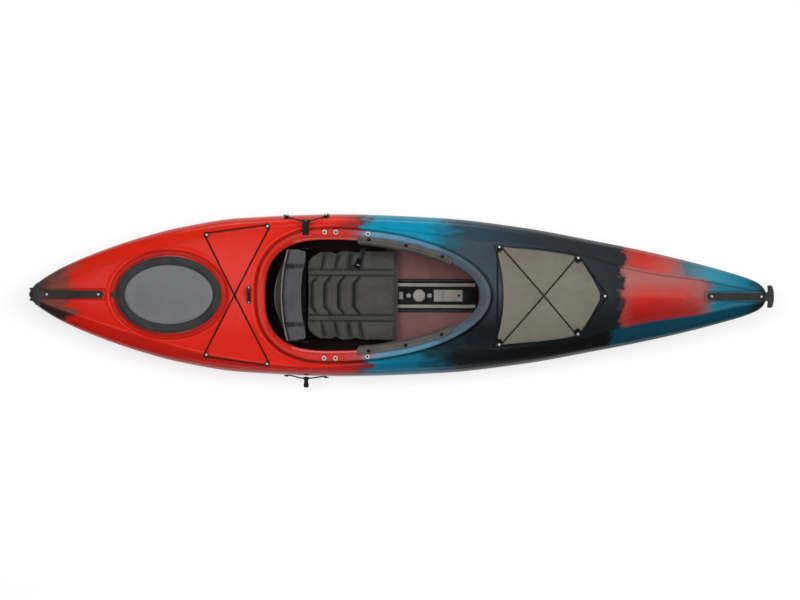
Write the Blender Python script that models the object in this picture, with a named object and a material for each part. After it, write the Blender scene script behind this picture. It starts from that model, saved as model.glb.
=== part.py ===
"""Crossover kayak: sit-inside hull, padded seat, deck rigging, stern hatch and drop-down skeg.

Metres, +X to the bow, +Y to port, +Z up. The origin is on the keel, under the middle of the hull.
"""

import math

import bmesh
import bpy
from mathutils import Matrix, Vector
from mathutils.bvhtree import BVHTree

# Hull lines
LENGTH = 3.200
BEAM = 0.706
WALL = 0.005
TIP_WALL = 0.012
STATIONS = 36
FLAT_HALF = 0.560
BOW_ROCKER = 0.085
STERN_ROCKER = 0.050
BOW_STEM = 0.145
STERN_STEM = 0.120
STEM_START = 0.72
GUNWALE = 0.200
BOW_SHEER = 0.092
STERN_SHEER = 0.048
SHOULDER_RISE = 0.055
TIP_SHOULDER_RISE = 0.012

# Shares of the half length, with shares of the half beam
OUTLINE = [(-1.0, 0.062), (-0.967, 0.178), (-0.913, 0.326), (-0.805, 0.538), (-0.697, 0.705),
           (-0.589, 0.833), (-0.426, 0.950), (-0.156, 1.000), (0.115, 0.957), (0.331, 0.847),
           (0.548, 0.669), (0.711, 0.516), (0.872, 0.331), (0.970, 0.184), (1.0, 0.085)]
SHOULDER = [(-1.0, 0.050), (-0.962, 0.105), (-0.787, 0.380), (-0.602, 0.629), (-0.509, 0.732),
            (-0.331, 0.856), (-0.220, 0.885), (0.0, 0.815), (0.266, 0.660), (0.502, 0.510),
            (0.607, 0.365), (0.694, 0.282), (0.812, 0.212), (0.919, 0.116), (1.0, 0.060)]
# Shares of the half length, with the height of the deck's centreline
CROWN = [(-1.0, 0.258), (-0.97, 0.270), (-0.75, 0.281), (-0.40, 0.290), (-0.18, 0.303),
         (0.15, 0.337), (0.32, 0.347), (0.55, 0.345), (0.85, 0.334), (0.98, 0.322), (1.0, 0.308)]
# Half section of the hull amidships and at the tips: shares of half beam and of side height
MIDDLE_SECTION = [(0.0, 0.0), (0.36, 0.0), (0.58, 0.04), (0.76, 0.14), (0.88, 0.34),
                  (0.95, 0.60), (0.988, 0.82), (1.0, 1.0)]
TIP_SECTION = [(0.0, 0.0), (0.22, 0.02), (0.42, 0.10), (0.60, 0.25), (0.76, 0.45),
               (0.88, 0.68), (0.96, 0.87), (1.0, 1.0)]
TIP_BLEND_START = 0.45
# Shares of the way from gunwale to shoulder, across and up
BAND_SECTION = [(0.0, 0.0), (0.14, 0.40), (0.50, 0.78), (1.0, 1.0)]
CROWN_SECTION = [0.14, 0.36, 0.66, 1.0]

# Clearances
SEAM = 0.0003
FIT = 0.0003
REST_GAP = 0.0006
STRAP_GAP = 0.0009
SMALL_ROUND = 0.0015

# Cockpit, as half-ellipses that meet at its widest place
COCKPIT_X = -0.290
COCKPIT_AFT = 0.319
COCKPIT_FORE = 0.691
COCKPIT_HALF = 0.284
COCKPIT_AFT_POWER = 2.4
COCKPIT_AFT_INNER_POWER = 2.7
COCKPIT_AFT_BAND_SHARE = 0.82
COCKPIT_FORE_POWER = 2.0
COAMING_AFT_Z = 0.316
COAMING_FORE_Z = 0.372
COAMING_RISER = 0.0190
COAMING_WALL = 0.005
COAMING_FLAT = 0.023
COAMING_BAND = 0.044
COAMING_DROP = 0.020
COAMING_LIP = 0.006
COAMING_EDGE = 0.0015
COAMING_WEB = 0.0045
COAMING_TUCK = 0.018
RING_POINTS = 48
ROUND_SIDES = 12

# Thigh braces
BRACE_AFT = -0.175
BRACE_FORE = 0.232
# Distance in from the coaming's edge, with the drop from its top
BRACE_PROFILE = [(0.0245, 0.0005), (0.0245, -0.006), (0.032, -0.005), (0.050, 0.006),
                 (0.0585, 0.017), (0.062, 0.034), (0.058, 0.038)]
BRACE_GAP = 0.0008
BRACE_STEPS = 14

# Stern hatch
HATCH_X = -0.991
HATCH_HALF_LENGTH = 0.2295
HATCH_HALF_WIDTH = 0.167
HATCH_PLATE_INSET = 0.0385
HATCH_RISER_INSET = 0.024
HATCH_RIM_WALL = 0.005
HATCH_RISE = 0.014
HATCH_THICK = 0.010
HATCH_SHELF = 0.006
HATCH_SHELF_THICK = 0.004
SEAL_EDGE = 0.003
SEAL_VALLEY = (0.013, 0.033)
SEAL_VALLEY_DEPTH = 0.005
SEAL_SKIRT = 0.005
HATCH_TAB_DROP = 0.007
HATCH_TAB_THICK = 0.003
HATCH_TAB_LENGTH = 0.020
HATCH_TAB_HALF = 0.014

# Carry handles: distances from the tip of the hull
HANDLE_WIDTH = 0.032
HANDLE_THICK = 0.004
BOW_STRAP_START = 0.265
BOW_STRAP_END = 0.016
BOW_GRIP_CENTRE = -0.0105
BOW_GRIP_HALF = 0.0175
STRAP_FROM_HATCH = 0.0345
STERN_STRAP_START = (LENGTH / 2 + HATCH_X - HATCH_HALF_LENGTH - HATCH_TAB_LENGTH
                     - STRAP_FROM_HATCH)
STERN_STRAP_END = 0.068
STERN_GRIP_CENTRE = 0.030
STERN_GRIP_HALF = 0.027
SCREW_FROM_START = 0.0225
SCREW_FROM_END = 0.010
BOW_SCREWS = (BOW_STRAP_START - SCREW_FROM_START, BOW_STRAP_END + SCREW_FROM_END)
STERN_SCREWS = (STERN_STRAP_START - SCREW_FROM_START, STERN_STRAP_END + SCREW_FROM_END)
GRIP_WIDTH = 0.099
GRIP_THICK = 0.022
# Shares of the grip's half width, with its fullness there
GRIP_SHAPE = [(-1.0, 0.55), (-0.88, 0.9), (-0.4, 1.0), (0.4, 1.0), (0.88, 0.9), (1.0, 0.55)]
TONGUE_HALF = 0.014
TONGUE_END = 0.25
SCREW_HEAD = 0.011
SCREW_HEIGHT = 0.003

# Security bar
BAR_X = -0.644
BAR_HALF = 0.040
BAR_LEG = 0.022
BAR_LEG_LEAN = 0.008
BAR_FLANGE = 0.004
BAR_WIDTH = 0.018
BAR_RISE = 0.012
BAR_THICK = 0.007

# Foredeck pad
PAD_AFT = 0.424
PAD_FORE = 0.874
PAD_AFT_HALF = 0.215
PAD_MIDDLE = 0.775
PAD_MIDDLE_HALF = 0.172
PAD_TAPER_HALF = 0.107
PAD_TIP_HALF = 0.014
PAD_HOLLOW = 0.034
PAD_THICK = 0.003
PAD_NOTCH = 0.018

# Deck rigging
CORD = 0.006
POST_FLANGE = 0.011
POST_NECK = 0.005
POST_CAP = 0.010
POST_FLANGE_THICK = 0.002
POST_NECK_HEIGHT = 0.0095
POST_CAP_THICK = 0.003
POST_SIDES = 8
STERN_AFT_POST = (-0.829, 0.260)
STERN_FORE_POST = (-0.565, 0.296)
DECK_AFT_POST = (0.440, 0.2035)
DECK_FORE_POST = (0.781, 0.157)
TIP_POST_AHEAD = 0.021
DECK_TIP_POST = (PAD_FORE + TIP_POST_AHEAD, 0.0)
CORD_STEP = 0.026
CROSS_GAP = 0.0025
CROSS_REACH = 0.045

# Paddle park
PARK_X = -0.3975
PARK_SPREAD = 0.085
TAB_WIDTH = 0.028
TAB_THICK = 0.004
TAB_LENGTH = 0.062
TAB_BOSS = 0.0065
TAB_BORE = 0.0034
TAB_BEND = 0.010
PORT_PIVOT = (0.322, 0.309)
STARBOARD_PIVOT = (-0.362, 0.186)
STARBOARD_TAB_LENGTH = 0.042
PORT_POST_Z = 0.236
STARBOARD_POST_Z = 0.160

# Floor track
TRACK_AFT = -0.450
TRACK_FORE = 0.357
TRACK_HALF = 0.0735
TRACK_THICK = 0.006
RAIL_Y = 0.0475
RAIL_WIDTH = 0.015
RAIL_HEIGHT = 0.010
RAIL_FORE = 0.344
BLOCK_AFT = 0.160
BLOCK_FORE = 0.290
BLOCK_WIDTH = 0.052
BLOCK_HEIGHT = 0.008

# Seat
SEAT_BASE_AFT = -0.3975
SEAT_BASE_FORE = -0.020
SEAT_BASE_HALF = 0.140
SEAT_BASE_THICK = 0.028
SEAT_BASE_WALL = 0.005
SEAT_BASE_RIB = 0.010
SEAT_AFT = -0.392
SEAT_FORE = 0.002
SEAT_HALF = 0.197
SEAT_FRONT_THICK = 0.044
SEAT_REAR_RISE = 0.092
SEAT_WING = 0.014
CHANNEL_Y = 0.098
CHANNEL_WIDTH = 0.010
CHANNEL_DEPTH = 0.006
CHEVRON = 0.017
SEAT_TAPER = 0.16
SEAT_TAPER_START = 0.35
SEAT_RISE_SHARE = 0.52
SEAT_ROLL = 0.014
SEAT_ROLL_START = 0.88
SEAT_HOLLOW = 0.020
# Shares of the pad's length and half width where its faces meet
SEAT_CHANNELS = (0.28, 0.44, 0.60)
SEAT_ALONG = [0.0, 0.03, 0.12, 0.24, 0.28, 0.32, 0.40, 0.44, 0.48, 0.56, 0.60, 0.64, 0.80, 0.96, 1.0]
SEAT_ACROSS = [-1.0, -0.94, -0.76, -0.56, -0.5, -0.44, -0.22, 0.0, 0.22, 0.44, 0.5, 0.56, 0.76,
               0.94, 1.0]
BACK_BOTTOM = 0.216
BACK_TOP = 0.345
BACK_FRONT = -0.402
BACK_LEAN = 0.062
BACK_HALF = 0.200
BACK_WRAP = 0.028
BACK_THICK = 0.040
SHELL_HALF = 0.199
SHELL_BULGE = 0.048
SHELL_THICK = 0.008
SHELL_WIDE = 0.55
BACK_ROLL = 0.012
BACK_ROLL_START = 0.8
# Shares of the backrest's half width and height where its faces meet
BACK_ACROSS = [-1.0, -0.92, -0.64, -0.56, -0.28, 0.0, 0.28, 0.56, 0.64, 0.92, 1.0]
BACK_ALONG = [0.0, 0.08, 0.3, 0.5, 0.7, 0.92, 1.0]
SHELL_ALONG = [0.04, 0.2, 0.4, 0.6, 0.8]
BACK_PIVOT = (-0.412, 0.072)
HINGE_BAR_HALF = 0.014
HINGE_BAR_TOP = 0.088
HINGE_ROD = 0.008
ROD_STICKS_OUT = 0.003
BACK_ARM_HALF = 0.012
BACK_ARM_THICK = 0.005
BACK_ARM_LAP = 0.035

# Foot braces
FOOT_AFT = 0.420
FOOT_FORE = 0.800
FOOT_Z = 0.120
FOOT_RAIL_HEIGHT = 0.028
FOOT_RAIL_THICK = 0.014
PEDAL_PLACE = 0.55
PEDAL_WIDTH = 0.055
PEDAL_BELOW = 0.028
PEDAL_ABOVE = 0.062
PEDAL_THICK = 0.008
PEDAL_SHOE = 0.050

# Stern bulkhead
BULKHEAD_X = -0.700
BULKHEAD_THICK = 0.012
BULKHEAD_GAP = 0.0008

# Skeg
SKEG_PIN_X = -1.020
SKEG_PIN_Z = 0.058
SKEG_PIN = 0.006
PIN_STICKS_OUT = 0.0025
SKEG_SLOT_AFT = -1.225
SKEG_SLOT_FORE = -0.990
SKEG_SLOT_WIDTH = 0.010
SKEG_BLADE_THICK = 0.006
SKEG_BOX_WALL = 0.003
SKEG_BOX_TOP = 0.104
# The blade drawn up, beside its pin: aft and up from the pin's centre
SKEG_BLADE = [(0.0, 0.020), (0.120, 0.030), (0.165, 0.026), (0.190, 0.004), (0.176, -0.022),
              (0.120, -0.036), (0.050, -0.034), (0.0, -0.022), (-0.015, -0.014), (-0.020, 0.0),
              (-0.014, 0.014)]
CABLE = 0.005
CABLE_DROP = 0.012
CABLE_STRAIGHT = 0.016
CABLE_STERN = (-0.880, -0.120, 0.090)
CABLE_PASS = (-0.205, 0.105)
CABLE_SIDE = [(-0.560, -0.265, 0.128), (-0.420, -0.318, 0.158)]
CABLE_HOLE_GAP = 0.0012
SLIDER_AFT = -0.300
SLIDER_LENGTH = 0.150
SLIDER_Z = 0.170
SLIDER_HEIGHT = 0.020
SLIDER_THICK = 0.008
KNOB_FROM_END = 0.010
KNOB_LENGTH = 0.030
KNOB_HEIGHT = 0.014
KNOB_THICK = 0.012

# Finishes: colour, roughness and metallic value
RED_PLASTIC = ((0.55, 0.03, 0.02), 0.42, 0.0)
BLACK_RUBBER = ((0.03, 0.03, 0.035), 0.60, 0.0)
BLACK_PLASTIC = ((0.02, 0.02, 0.02), 0.45, 0.0)
GREY_PLASTIC = ((0.12, 0.13, 0.15), 0.55, 0.0)
PALE_PLASTIC = ((0.35, 0.34, 0.33), 0.45, 0.0)
TAUPE_FOAM = ((0.20, 0.17, 0.15), 0.80, 0.0)
GREY_FOAM = ((0.14, 0.14, 0.14), 0.85, 0.0)
GREY_FABRIC = ((0.07, 0.07, 0.07), 0.90, 0.0)
BLACK_CORD = ((0.02, 0.02, 0.02), 0.80, 0.0)
STEEL = ((0.55, 0.55, 0.55), 0.25, 1.0)

HALF_LENGTH = LENGTH / 2
HALF_BEAM = BEAM / 2


def clear_scene():
    for thing in list(bpy.data.objects):
        bpy.data.objects.remove(thing, do_unlink=True)


def smooth(points, x):
    """The smooth curve through the points, without overshoot, read at x."""
    x = min(max(x, points[0][0]), points[-1][0])
    steps = [(b[1] - a[1]) / (b[0] - a[0]) for a, b in zip(points, points[1:])]
    slopes = [steps[0]]
    for before, after in zip(steps, steps[1:]):
        slopes.append(2 * before * after / (before + after) if before * after > 0 else 0.0)
    slopes.append(steps[-1])
    index = next(i for i, b in enumerate(points[1:]) if x <= b[0])
    (x0, y0), (x1, y1) = points[index], points[index + 1]
    span = x1 - x0
    t = (x - x0) / span
    return (y0 * (1 + 2 * t) * (1 - t) ** 2 + y1 * t * t * (3 - 2 * t)
            + span * t * (1 - t) * (slopes[index] * (1 - t) - slopes[index + 1] * t))


def half_beam(x):
    return HALF_BEAM * smooth(OUTLINE, x / HALF_LENGTH)


def shoulder_half(x):
    return HALF_BEAM * smooth(SHOULDER, x / HALF_LENGTH)


def crown_z(x):
    return smooth(CROWN, x / HALF_LENGTH)


def keel_z(x):
    reach = max(0.0, abs(x) - FLAT_HALF) / (HALF_LENGTH - FLAT_HALF)
    stem = max(0.0, (reach - STEM_START) / (1 - STEM_START))
    rocker, rise = (BOW_ROCKER, BOW_STEM) if x > 0 else (STERN_ROCKER, STERN_STEM)
    return rocker * reach ** 2 + rise * stem ** 2


def gunwale_z(x):
    return GUNWALE + (BOW_SHEER if x > 0 else STERN_SHEER) * (x / HALF_LENGTH) ** 2


def shoulder_z(x):
    share = abs(x) / HALF_LENGTH
    return gunwale_z(x) + SHOULDER_RISE + (TIP_SHOULDER_RISE - SHOULDER_RISE) * share ** 4


def hull_half_section(x):
    """Keel to gunwale at a station, as (y, z)."""
    blend = max(0.0, (abs(x) / HALF_LENGTH - TIP_BLEND_START) / (1 - TIP_BLEND_START))
    keel, side = keel_z(x), gunwale_z(x) - keel_z(x)
    points = []
    for (mid_y, mid_z), (tip_y, tip_z) in zip(MIDDLE_SECTION, TIP_SECTION):
        across = mid_y + (tip_y - mid_y) * blend
        up = mid_z + (tip_z - mid_z) * blend
        points.append((half_beam(x) * across, keel + side * up))
    return points


def deck_half_section(x):
    """Gunwale to centreline at a station, as (y, z)."""
    edge, edge_z = half_beam(x), gunwale_z(x)
    crease, crease_z = shoulder_half(x), shoulder_z(x)
    points = [(edge + (crease - edge) * t, edge_z + (crease_z - edge_z) * s) for t, s in BAND_SECTION]
    for t in CROWN_SECTION:
        rise = (crown_z(x) - crease_z) * (1 - (1 - t) ** 2)
        points.append((crease * (1 - t), crease_z + rise))
    return points


def offset_section(points, wall, rim_first):
    """The half section moved in by the wall, with its rim kept level and its end on the centreline."""
    inner = []
    for i, (y, z) in enumerate(points):
        before, after = points[max(i - 1, 0)], points[min(i + 1, len(points) - 1)]
        along = Vector((after[0] - before[0], after[1] - before[1])).normalized()
        inner.append((max(y - wall * abs(along.y), 0.15 * y), z))
        lift = wall * abs(along.x)
        inner[-1] = (inner[-1][0], z - lift if rim_first else z + lift)
    rim = 0 if rim_first else -1
    centre = -1 if rim_first else 0
    inner[rim] = (points[rim][0] - wall, points[rim][1])
    sign = -1 if rim_first else 1
    inner[centre] = (0.0, points[centre][1] + sign * wall)
    return inner


def stations():
    """Station places along the hull, closer together at the tips."""
    places = []
    for i in range(STATIONS + 1):
        t = 2 * i / STATIONS - 1
        places.append(HALF_LENGTH * (0.6 * t + 0.4 * math.sin(math.pi / 2 * t)))
    return places


def full_row(x, half, lift=0.0):
    """A half section mirrored into a row of points from port to starboard."""
    ordered = half if half[0][0] > half[-1][0] else half[::-1]
    port = [Vector((x, y, z + lift)) for y, z in ordered]
    starboard = [Vector((x, -y, z + lift)) for y, z in ordered[-2::-1]]
    return port + starboard


def shell_rows(section, rim_first, lift=0.0):
    """Outer and inner rows of the hull or the deck."""
    outer, inner = [], []
    limit = HALF_LENGTH - TIP_WALL
    for x in stations():
        outer.append(full_row(x, section(x), lift))
        held = min(max(x, -limit), limit)
        inner.append(full_row(held, offset_section(section(held), WALL, rim_first), lift))
    return outer, inner


def shader(name, finish):
    colour, roughness, metallic = finish
    material = bpy.data.materials.new(name)
    material.use_nodes = True
    principled = material.node_tree.nodes["Principled BSDF"]
    principled.inputs["Base Color"].default_value = (*colour, 1.0)
    principled.inputs["Roughness"].default_value = roughness
    principled.inputs["Metallic"].default_value = metallic
    return material


def add_piece(name, bm, finish, matrix=None):
    """Turn a bmesh into a named object with its own material."""
    bmesh.ops.recalc_face_normals(bm, faces=bm.faces[:])
    mesh = bpy.data.meshes.new(name)
    bm.to_mesh(mesh)
    bm.free()
    mesh.shade_smooth()
    mesh.set_sharp_from_angle(angle=math.radians(40))
    mesh.materials.append(shader(name, finish))
    piece = bpy.data.objects.new(name, mesh)
    bpy.context.scene.collection.objects.link(piece)
    if matrix is not None:
        piece.matrix_world = matrix
    return piece


def add_rows(bm, rows):
    return [[bm.verts.new(point) for point in row] for row in rows]


def bridge(bm, rows, wrap):
    """Quads between neighbouring rows; wrap closes each row on itself."""
    for first, second in zip(rows, rows[1:]):
        count = len(first)
        for j in range(count if wrap else count - 1):
            k = (j + 1) % count
            bm.faces.new((first[j], first[k], second[k], second[j]))


def trough(name, outer, inner, finish):
    """A closed shell between an outer and an inner skin that share one open side."""
    bm = bmesh.new()
    out_rows, in_rows = add_rows(bm, outer), add_rows(bm, inner)
    bridge(bm, out_rows, False)
    bridge(bm, in_rows, False)
    for end in (0, -1):
        bm.faces.new(out_rows[end])
        bm.faces.new(in_rows[end])
        bm.faces.new((out_rows[end][0], in_rows[end][0], in_rows[end][-1], out_rows[end][-1]))
    for i in range(len(out_rows) - 1):
        for edge in (0, -1):
            bm.faces.new((out_rows[i][edge], out_rows[i + 1][edge],
                          in_rows[i + 1][edge], in_rows[i][edge]))
    bmesh.ops.triangulate(bm, faces=bm.faces[:])
    return add_piece(name, bm, finish)


def ring(name, loops, finish):
    """A solid ring: each loop runs round the hole, and the last one meets the first."""
    bm = bmesh.new()
    rows = add_rows(bm, loops)
    bridge(bm, rows + rows[:1], True)
    return add_piece(name, bm, finish)


def stack(name, loops, finish, matrix=None):
    """A solid of stacked loops with flat ends."""
    bm = bmesh.new()
    rows = add_rows(bm, loops)
    bridge(bm, rows, True)
    bm.faces.new(rows[0])
    bm.faces.new(rows[-1])
    return add_piece(name, bm, finish, matrix)


def pillow(name, front, back, finish):
    """A closed solid between two grids of points of the same size."""
    bm = bmesh.new()
    front_rows, back_rows = add_rows(bm, front), add_rows(bm, back)
    bridge(bm, front_rows, False)
    bridge(bm, back_rows, False)

    def rim(rows):
        return (rows[0] + [row[-1] for row in rows[1:-1]] + rows[-1][::-1]
                + [row[0] for row in rows[-2:0:-1]])

    bridge(bm, [rim(front_rows), rim(back_rows)], True)
    bmesh.ops.triangulate(bm, faces=bm.faces[:])
    return add_piece(name, bm, finish)


def block(name, low, high, finish, bevel=0.0, matrix=None):
    """A box between two corners, with its edges rounded."""
    bm = bmesh.new()
    bmesh.ops.create_cube(bm, size=1.0)
    size = Vector(high) - Vector(low)
    centre = (Vector(high) + Vector(low)) / 2
    bmesh.ops.transform(bm, matrix=Matrix.Translation(centre) @ Matrix.Diagonal((*size, 1.0)),
                        verts=bm.verts[:])
    if bevel:
        bmesh.ops.bevel(bm, geom=bm.edges[:], offset=bevel, segments=2, profile=0.5,
                        affect="EDGES", material=-1)
    return add_piece(name, bm, finish, matrix)


def prism(name, outline, half_width, finish, axis="Y", matrix=None):
    """An outline in the XZ or YZ plane, made thick across that plane."""
    def place(point, side):
        if axis == "Y":
            return Vector((point[0], side, point[1]))
        return Vector((side, point[0], point[1]))
    loops = [[place(p, side) for p in outline] for side in (-half_width, half_width)]
    return stack(name, loops, finish, matrix)


def tube(name, points, diameter, finish, resolution=2):
    """A round cord through the points, with closed ends."""
    curve = bpy.data.curves.new(name, "CURVE")
    curve.dimensions = "3D"
    spline = curve.splines.new("POLY")
    spline.points.add(len(points) - 1)
    for target, point in zip(spline.points, points):
        target.co = (*point, 1.0)
    curve.bevel_depth = diameter / 2
    curve.bevel_resolution = resolution
    curve.use_fill_caps = True
    curve.materials.append(shader(name, finish))
    piece = bpy.data.objects.new(name, curve)
    bpy.context.scene.collection.objects.link(piece)
    return piece


def move_origin(piece, origin):
    """Put the piece's origin on its joint and leave its faces where they are."""
    piece.data.transform(Matrix.Translation(-Vector(origin)))
    piece.matrix_world = Matrix.Translation(origin)


def cut(piece, cutter, operation="DIFFERENCE"):
    """Take the cutter's shape out of the piece, or join it on."""
    cutter.hide_render = True
    cutter.display_type = "WIRE"
    modifier = piece.modifiers.new(cutter.name, "BOOLEAN")
    modifier.operation = operation
    modifier.solver = "EXACT"
    modifier.object = cutter


def circle(radius, z, sides, squash=1.0):
    return [Vector((radius * math.cos(2 * math.pi * i / sides),
                    squash * radius * math.sin(2 * math.pi * i / sides), z)) for i in range(sides)]


def rod_matrix(centre, axis):
    """Places a piece built along Z so that it lies along the axis."""
    turn = Vector((0, 0, 1)).rotation_difference(Vector(axis)).to_matrix().to_4x4()
    return Matrix.Translation(centre) @ turn


class Surface:
    """The outer faces of a finished shell, for pieces that sit on it."""

    def __init__(self, piece):
        mesh = piece.data
        self.tree = BVHTree.FromPolygons([v.co for v in mesh.vertices],
                                         [tuple(p.vertices) for p in mesh.polygons])

    def below(self, x, y):
        """Height of the surface at a place, seen from above."""
        return self.tree.ray_cast(Vector((x, y, 1.0)), Vector((0, 0, -1)))[0].z

    def square(self, start, way, radius):
        """Matrix that stands a round piece on the surface where a ray meets it."""
        hit, normal, _, _ = self.tree.ray_cast(start, way)
        frame = rod_matrix(hit, normal).to_3x3()
        rise = 0.0
        for i in range(8):
            around = frame @ Vector((radius * math.cos(i), radius * math.sin(i), BEAM))
            near = self.tree.ray_cast(hit + around, -normal)[0]
            rise = max(rise, (near - hit).dot(normal))
        return rod_matrix(hit + normal * (rise + FIT), normal)

    def seat(self, x, y, radius):
        return self.square(Vector((x, y, 1.0)), Vector((0, 0, -1)), radius)

    def side_seat(self, x, z, side, radius):
        return self.square(Vector((x, side, z)), Vector((0, -side, 0)), radius)

    def over(self, x, y, height):
        """The point that far off the surface, square to it."""
        hit, normal, _, _ = self.tree.ray_cast(Vector((x, y, 1.0)), Vector((0, 0, -1)))
        return hit + normal * height

    def crest_seat(self, x, lift):
        """Matrix on the centreline, tilted with the deck's slope along the hull."""
        step = 0.004
        rise = self.below(x + step, 0.0) - self.below(x - step, 0.0)
        normal = Vector((-rise, 0, 2 * step)).normalized()
        return rod_matrix(Vector((x, 0, self.below(x, 0.0))) + normal * lift, normal)

    def floor(self, x, y, start):
        """Height of the surface inside, under the starting height."""
        return self.tree.ray_cast(Vector((x, y, start)), Vector((0, 0, -1)))[0].z

    def inside_half(self, x, z):
        """Half width of the space inside at a place."""
        return self.tree.ray_cast(Vector((x, 0, z)), Vector((0, 1, 0)))[0].y


def make_hull():
    outer, inner = shell_rows(hull_half_section, False)
    return trough("hull_bottom", outer, inner, RED_PLASTIC)


def make_deck():
    outer, inner = shell_rows(deck_half_section, True, SEAM)
    return trough("deck", outer, inner, RED_PLASTIC)


def cockpit_lobe(fore, inset):
    """Reach and roundness of the cockpit's front or back half, moved in by the inset."""
    if fore:
        return COCKPIT_FORE - inset, COCKPIT_FORE_POWER
    inward = inset / COAMING_BAND
    power = COCKPIT_AFT_POWER + (COCKPIT_AFT_INNER_POWER - COCKPIT_AFT_POWER) * inward
    return COCKPIT_AFT - COCKPIT_AFT_BAND_SHARE * inset, power


def cockpit_ring(inset):
    """Points round the cockpit, moved in from the coaming's outer edge, as (x, y)."""
    points = []
    for i in range(RING_POINTS):
        angle = 2 * math.pi * i / RING_POINTS
        reach, power = cockpit_lobe(math.cos(angle) >= 0, inset)
        x = COCKPIT_X + math.copysign(reach * abs(math.cos(angle)) ** (2 / power), math.cos(angle))
        side = (COCKPIT_HALF - inset) * abs(math.sin(angle)) ** (2 / power)
        points.append((x, math.copysign(side, math.sin(angle))))
    return points


def cockpit_half(x, inset):
    """Half width of the cockpit at x, moved in by the inset."""
    reach, power = cockpit_lobe(x >= COCKPIT_X, inset)
    share = min(abs(x - COCKPIT_X) / reach, 1.0)
    return (COCKPIT_HALF - inset) * (1 - share ** power) ** (1 / power)


def coaming_z(x):
    """Top of the coaming at x."""
    share = (x - COCKPIT_X + COCKPIT_AFT) / (COCKPIT_AFT + COCKPIT_FORE)
    return COAMING_AFT_Z + (COAMING_FORE_Z - COAMING_AFT_Z) * share


def opening_cutter(name, outline, low, high):
    loops = [[Vector((x, y, z)) for x, y in outline] for z in (low, high)]
    return stack(name, loops, BLACK_PLASTIC)


def make_coaming(deck_surface):
    """Raised rim with a lip outside for a spray skirt and a sloped band inside."""
    def level(inset, drop):
        return [Vector((x, y, coaming_z(x) - drop)) for x, y in cockpit_ring(inset)]

    def tucked(inset):
        outline = cockpit_ring(inset)
        return [Vector((x, y, deck_surface.below(x, y) - COAMING_TUCK)) for x, y in outline]

    inner = COAMING_RISER + COAMING_WALL
    edge, web = COAMING_EDGE, COAMING_WEB
    loops = [level(0.0, COAMING_LIP), level(0.0, edge), level(edge, 0.0),
             level(COAMING_FLAT, 0.0), level(COAMING_BAND - edge, COAMING_DROP - edge),
             level(COAMING_BAND, COAMING_DROP), level(COAMING_BAND, COAMING_DROP + COAMING_LIP),
             level(inner + web, COAMING_LIP + web + edge), level(inner, COAMING_LIP + 2 * web),
             tucked(inner), tucked(COAMING_RISER), level(COAMING_RISER, COAMING_LIP + edge)]
    return ring("cockpit_coaming", loops, RED_PLASTIC)


def make_thigh_brace(side):
    """Strip that lies on the coaming's inner band and reaches into the cockpit."""
    clear = COAMING_BAND + BRACE_GAP
    profile = BRACE_PROFILE + [(clear, BRACE_PROFILE[-1][1]), (clear, COAMING_DROP - BRACE_GAP - FIT)]
    loops = []
    for i in range(BRACE_STEPS + 1):
        t = i / BRACE_STEPS
        x = BRACE_AFT + (BRACE_FORE - BRACE_AFT) * t
        loops.append([Vector((x, side * cockpit_half(x, inset), coaming_z(x) - drop + REST_GAP))
                      for inset, drop in profile])
    name = "thigh_brace_port" if side > 0 else "thigh_brace_starboard"
    return stack(name, loops, GREY_FOAM)


def hatch_ring(inset):
    points = []
    for i in range(RING_POINTS):
        angle = 2 * math.pi * i / RING_POINTS
        points.append((HATCH_X + (HATCH_HALF_LENGTH - inset) * math.cos(angle),
                       (HATCH_HALF_WIDTH - inset) * math.sin(angle)))
    return points


def hatch_top(x):
    """Plane of the hatch cover, which follows the deck's rise."""
    aft, fore = HATCH_X - HATCH_HALF_LENGTH, HATCH_X + HATCH_HALF_LENGTH
    share = (x - aft) / (fore - aft)
    return crown_z(aft) + (crown_z(fore) - crown_z(aft)) * share + HATCH_RISE


def hatch_level(inset, drop):
    return [Vector((x, y, hatch_top(x) - drop)) for x, y in hatch_ring(inset)]


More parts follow.
